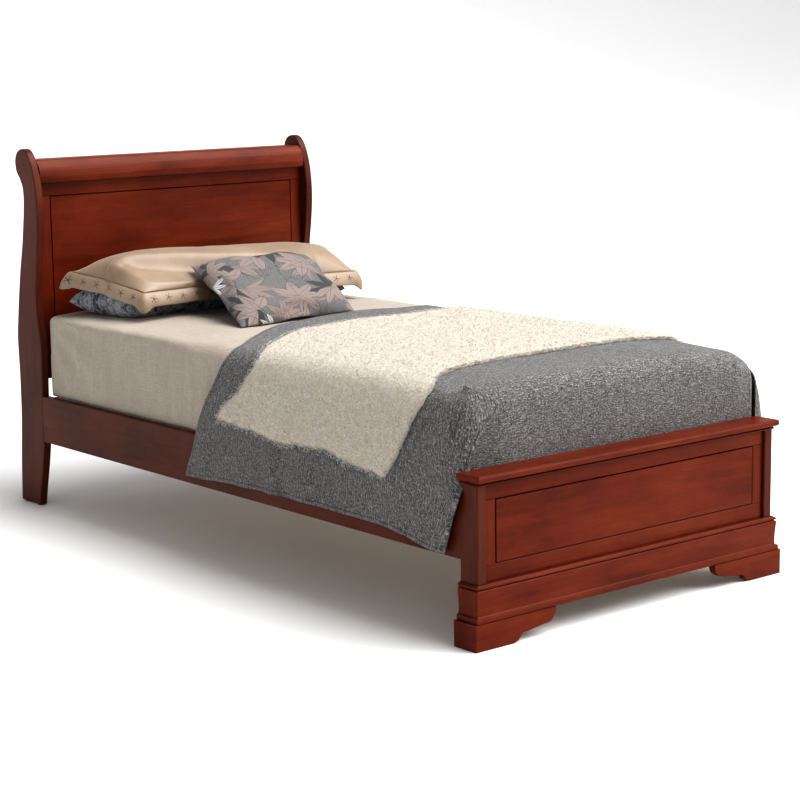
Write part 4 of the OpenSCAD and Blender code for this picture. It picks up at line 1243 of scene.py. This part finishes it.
def lay(pillow, corners, under, over, fullness, straight):
    """Maps a pillow made flat onto four corners in space. The half below its seam is scaled by under, and
    the half above by over. A fullness below 1 makes it rise more steeply from the seam. Straight, from 0 to
    1, says how much of the curve of the seams is taken out."""
    shape = pillow.shape
    ends = np.abs(shape[pillow.corners()][:, :2]).mean(axis=0)
    s = shape[:, 0] / ends[0] / 2 + 0.5
    t = shape[:, 1] / ends[1] / 2 + 0.5
    front_side, right_side, back_side, left_side = pillow.sides()
    s, t = (straightened(s, t, left_side, right_side, straight),
            straightened(t, s, front_side, back_side, straight))
    front = corners[0] + (corners[1] - corners[0]) * s[:, None]
    back = corners[3] + (corners[2] - corners[3]) * s[:, None]
    across = (corners[1] + corners[2] - corners[0] - corners[3]) / 2
    up_bed = (corners[2] + corners[3] - corners[0] - corners[1]) / 2
    normal = np.cross(across, up_bed)
    normal /= np.linalg.norm(normal)
    tallest = np.abs(shape[:, 2]).max()
    rise = np.sign(shape[:, 2]) * tallest * (np.abs(shape[:, 2]) / tallest) ** fullness
    height = np.where(rise < 0, rise * under, rise * over)
    places = front + (back - front) * t[:, None] + normal * height[:, None]
    seam = edge_distance(places, pillow.rim)
    pucker = wander(places, (0.024, 0.024, 0.05), 71) * np.exp(-seam / 0.035)
    pucker *= ease_between(seam, 0.0, 0.012)
    soft = wander(places, (0.14, 0.09, 0.09), 72) * ease_between(seam, 0.0, 0.05)
    return places + normal * (0.0035 * pucker + 0.003 * soft)[:, None] * np.sign(height)[:, None]


def above_sheet(places, gap):
    """The same places, none of them lower than gap above the fitted sheet."""
    return np.column_stack([places[:, :2], np.maximum(places[:, 2], SHEET_TOP + gap)])


def dented(points, corners):
    """Presses points down to the underside of the pillow that leans on them with the given corners."""
    across, up_bed = corners[1] - corners[0], corners[3] - corners[0]
    normal = np.cross(across, up_bed) / np.linalg.norm(np.cross(across, up_bed))
    from_corner = points - (corners[0] - normal * 0.022)
    s = from_corner.dot(across) / across.dot(across)
    t = from_corner.dot(up_bed) / up_bed.dot(up_bed)
    near = (ease_between(s, -0.15, 0.05) * ease_between(s, 1.15, 0.95)
            * ease_between(t, -0.1, 0.1) * ease_between(t, 1.12, 1.0))
    return points - normal * (np.maximum(from_corner.dot(normal), 0) * near)[:, None]


def simulate(pillows):
    for pillow in pillows:
        pillow.add_cloth()
    for number in range(1, SIMULATED_FRAMES + 1):
        bpy.context.scene.frame_set(number)
    for pillow in pillows:
        pillow.settle()
        pillow.smooth()
    bpy.context.scene.frame_set(1)


def finish_pillow(pillow, places, node, body, material):
    move_points(pillow.obj, places)
    subdivide(pillow.obj)
    pillow.obj.data.materials.append(material)
    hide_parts(node)
    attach(pillow.obj, body)


def make_pillows():
    slate = Pillow("slate_pillow", 0.84, 0.36, 5.0, 0.060, passes=4)
    tan = Pillow("tan_pillow", 0.84, 0.36, 6.0, 0.085, passes=20)
    accent = Pillow("printed_pillow", 0.46, 0.45, 5.5, 0.065, passes=4)
    simulate([slate, tan, accent])
    places = above_sheet(lay(slate, bed_points(SLATE_CORNERS), 0.60, 0.80, 0.6, 0.5), 0.003)
    finish_pillow(slate, places, "flat_pillow", "flat_pillow_body", jacquard("jacquard"))

    accent_corners = bed_points(ACCENT_CORNERS)
    places = dented(lay(tan, bed_points(TAN_CORNERS), 0.25, 0.86, 0.80, 0.8), accent_corners)
    sateen_cloth = sateen("sateen")
    finish_pillow(tan, places, "leaning_pillow", "leaning_pillow_body", sateen_cloth)
    make_flange(tan, places, sateen_cloth)

    places = above_sheet(lay(accent, accent_corners, 0.28, 0.56, 0.80, 0.80), 0.003)
    finish_pillow(accent, places, "accent_pillow", "accent_pillow_body",
                  leaf_print("leaf_print"))


def outward(seam):
    """The level direction that points away from the middle of a closed seam, at each of its points."""
    tangent = np.roll(seam, -1, axis=0) - np.roll(seam, 1, axis=0)
    tangent /= lengths(tangent)
    out = np.cross(tangent, UP)
    out /= lengths(out)
    return out * np.sign(np.sum(out * (seam - seam.mean(axis=0)), axis=1, keepdims=True))


def flange_rings(pillow, seam):
    """Rings of points from the seam to the flange's hem. It hangs at the front and the ends of the pillow,
    lies flatter at its back, and reaches further and hangs more at its corners."""
    count = len(seam)
    out = outward(seam)
    stretch, corner_dip = np.ones(count), np.zeros(count)
    for at in pillow.corner_places():
        gap = np.abs((np.arange(count) - at + count // 2) % count - count // 2)
        stretch += 0.60 * np.clip(1 - gap / 1.4, 0, 1)
        corner_dip += 22 * np.clip(1 - gap / 4, 0, 1)
    backward = ease_between(out[:, 1], 0.3, 0.9)
    wave = wander(seam * [1, 1, 0], 0.075, 61) + 0.5 * wander(seam * [1, 1, 0], 0.035, 62)
    pace = (FLANGE_WIDTH / FLANGE_STEPS * stretch)[:, None]
    rings = [seam]
    for k in range(1, FLANGE_STEPS + 1):
        share = k / FLANGE_STEPS
        dip = np.radians((38 + 42 * share) * (1 - 0.55 * backward) + 9 * wave + corner_dip * share)[:, None]
        ring = rings[-1] + pace * (out * np.cos(dip) - UP * np.sin(dip))
        rings.append(above_sheet(ring, 0.0035))
    return rings


def make_flange(pillow, places, material):
    """A flat hem of doubled cloth all round a pillow's seam."""
    seam = places[pillow.rim]
    count = len(seam)
    run = np.concatenate([[0], np.cumsum(np.linalg.norm(np.diff(seam, axis=0), axis=1))])
    flat = [(r, FLANGE_WIDTH * k / FLANGE_STEPS) for k in range(FLANGE_STEPS + 1) for r in run]
    faces = []
    for k in range(FLANGE_STEPS):
        for i in range(count):
            a, b = k * count + i, k * count + (i + 1) % count
            faces.append([a, b, b + count, a + count])
    piece = make_mesh("tan_pillow_flange", np.concatenate(flange_rings(pillow, seam)), faces, flat)
    keep_places(piece.data, "flange", flat)
    thicken(piece, FLANGE_THICKNESS)
    subdivide(piece)
    piece.data.materials.append(material)
    piece.parent = pillow.obj


# ---- Floor, light and camera ----

FLOOR_REACH, FLOOR_BEND, WALL_HEIGHT, FLOOR_SIDES = 14.0, 3.0, 6.0, 96
SKY_STRENGTH = 0.33
LIGHT_TARGET = (0, 0, 0.5)
SUN_PLACE, SUN_ENERGY, SUN_SPREAD = (2.2, -2.4, 5.0), 2.8, 50
AREA_LIGHTS = (
    ("overhead", (0.6, -0.4, 3.4), (3.0, 3.0), 50),
    ("key", (3.4, -4.4, 2.4), (2.4, 2.0), 70),
)
CAMERA_PLACE = (-3.584, from_front(-3.441), 1.421)
CAMERA_LENS = 92.18
CAMERA_AZIMUTH, CAMERA_PITCH, CAMERA_ROLL = (math.radians(angle) for angle in (39.39, 10.11, -0.80))


def make_floor():
    """A pale round floor that curves up into a wall all round, like a studio's."""
    profile = [(FLOOR_REACH * share, 0.0) for share in (0.1, 0.4, 0.7, 1.0)]
    profile += [(FLOOR_REACH + FLOOR_BEND * math.sin(a), FLOOR_BEND * (1 - math.cos(a)))
                for a in np.linspace(0, math.pi / 2, 9)[1:]]
    profile.append((FLOOR_REACH + FLOOR_BEND, WALL_HEIGHT))
    turns = [2 * math.pi * k / FLOOR_SIDES for k in range(FLOOR_SIDES)]
    points = [(r * math.cos(turn), r * math.sin(turn), z) for r, z in profile for turn in turns]
    faces = []
    for ring in range(len(profile) - 1):
        for k in range(FLOOR_SIDES):
            a, b = ring * FLOOR_SIDES + k, ring * FLOOR_SIDES + (k + 1) % FLOOR_SIDES
            faces.append([a + FLOOR_SIDES, b + FLOOR_SIDES, b, a])
    faces.append(list(range(FLOOR_SIDES)))
    floor = make_mesh("floor", points, faces)
    floor.data.materials.append(floor_finish("floor_finish"))


def make_sky():
    world = bpy.data.worlds.new("studio")
    bpy.context.scene.world = world
    world.use_nodes = True
    background = world.node_tree.nodes["Background"]
    background.inputs["Color"].default_value = (1.0, 1.0, 1.0, 1)
    background.inputs["Strength"].default_value = SKY_STRENGTH
    bpy.context.scene.view_settings.view_transform = "Standard"
    bpy.context.scene.view_settings.look = "High Contrast"


def add_light(name, kind, place):
    """A light aimed at the bed. Gives its settings."""
    light = bpy.data.lights.new(name, kind)
    lamp = bpy.data.objects.new(name, light)
    lamp.location = place
    lamp.rotation_euler = (Vector(LIGHT_TARGET) - Vector(place)).to_track_quat("-Z", "Y").to_euler()
    bpy.context.scene.collection.objects.link(lamp)
    return light


def light_studio():
    sun = add_light("soft_sun", "SUN", SUN_PLACE)
    sun.energy = SUN_ENERGY
    sun.angle = math.radians(SUN_SPREAD)
    for name, place, size, power in AREA_LIGHTS:
        light = add_light(name, "AREA", place)
        light.shape = "RECTANGLE"
        light.size, light.size_y = size
        light.energy = power


def place_camera():
    """A long lens seen from the left of the foot, a little above the bed."""
    camera = bpy.data.cameras.new("camera")
    camera.sensor_width = 36.0
    camera.lens = CAMERA_LENS
    holder = bpy.data.objects.new("camera", camera)
    holder.matrix_world = (Matrix.Translation(CAMERA_PLACE)
                           @ Matrix.Rotation(-CAMERA_AZIMUTH, 4, "Z")
                           @ Matrix.Rotation(math.pi / 2 - CAMERA_PITCH, 4, "X")
                           @ Matrix.Rotation(CAMERA_ROLL, 4, "Z"))
    bpy.context.scene.collection.objects.link(holder)
    bpy.context.scene.camera = holder


# ---- The bed ----

place_camera()
make_floor()
make_sky()
light_studio()
dress_frame()
cover = ticking("ticking")
make_foundation(cover)
make_mattress(cover)
make_fitted_sheet(linen("linen"))
make_coverlet(charcoal_weave("charcoal_weave"))
make_throw(fleece("fleece"), wool_curl("wool_curl"))
make_pillows()
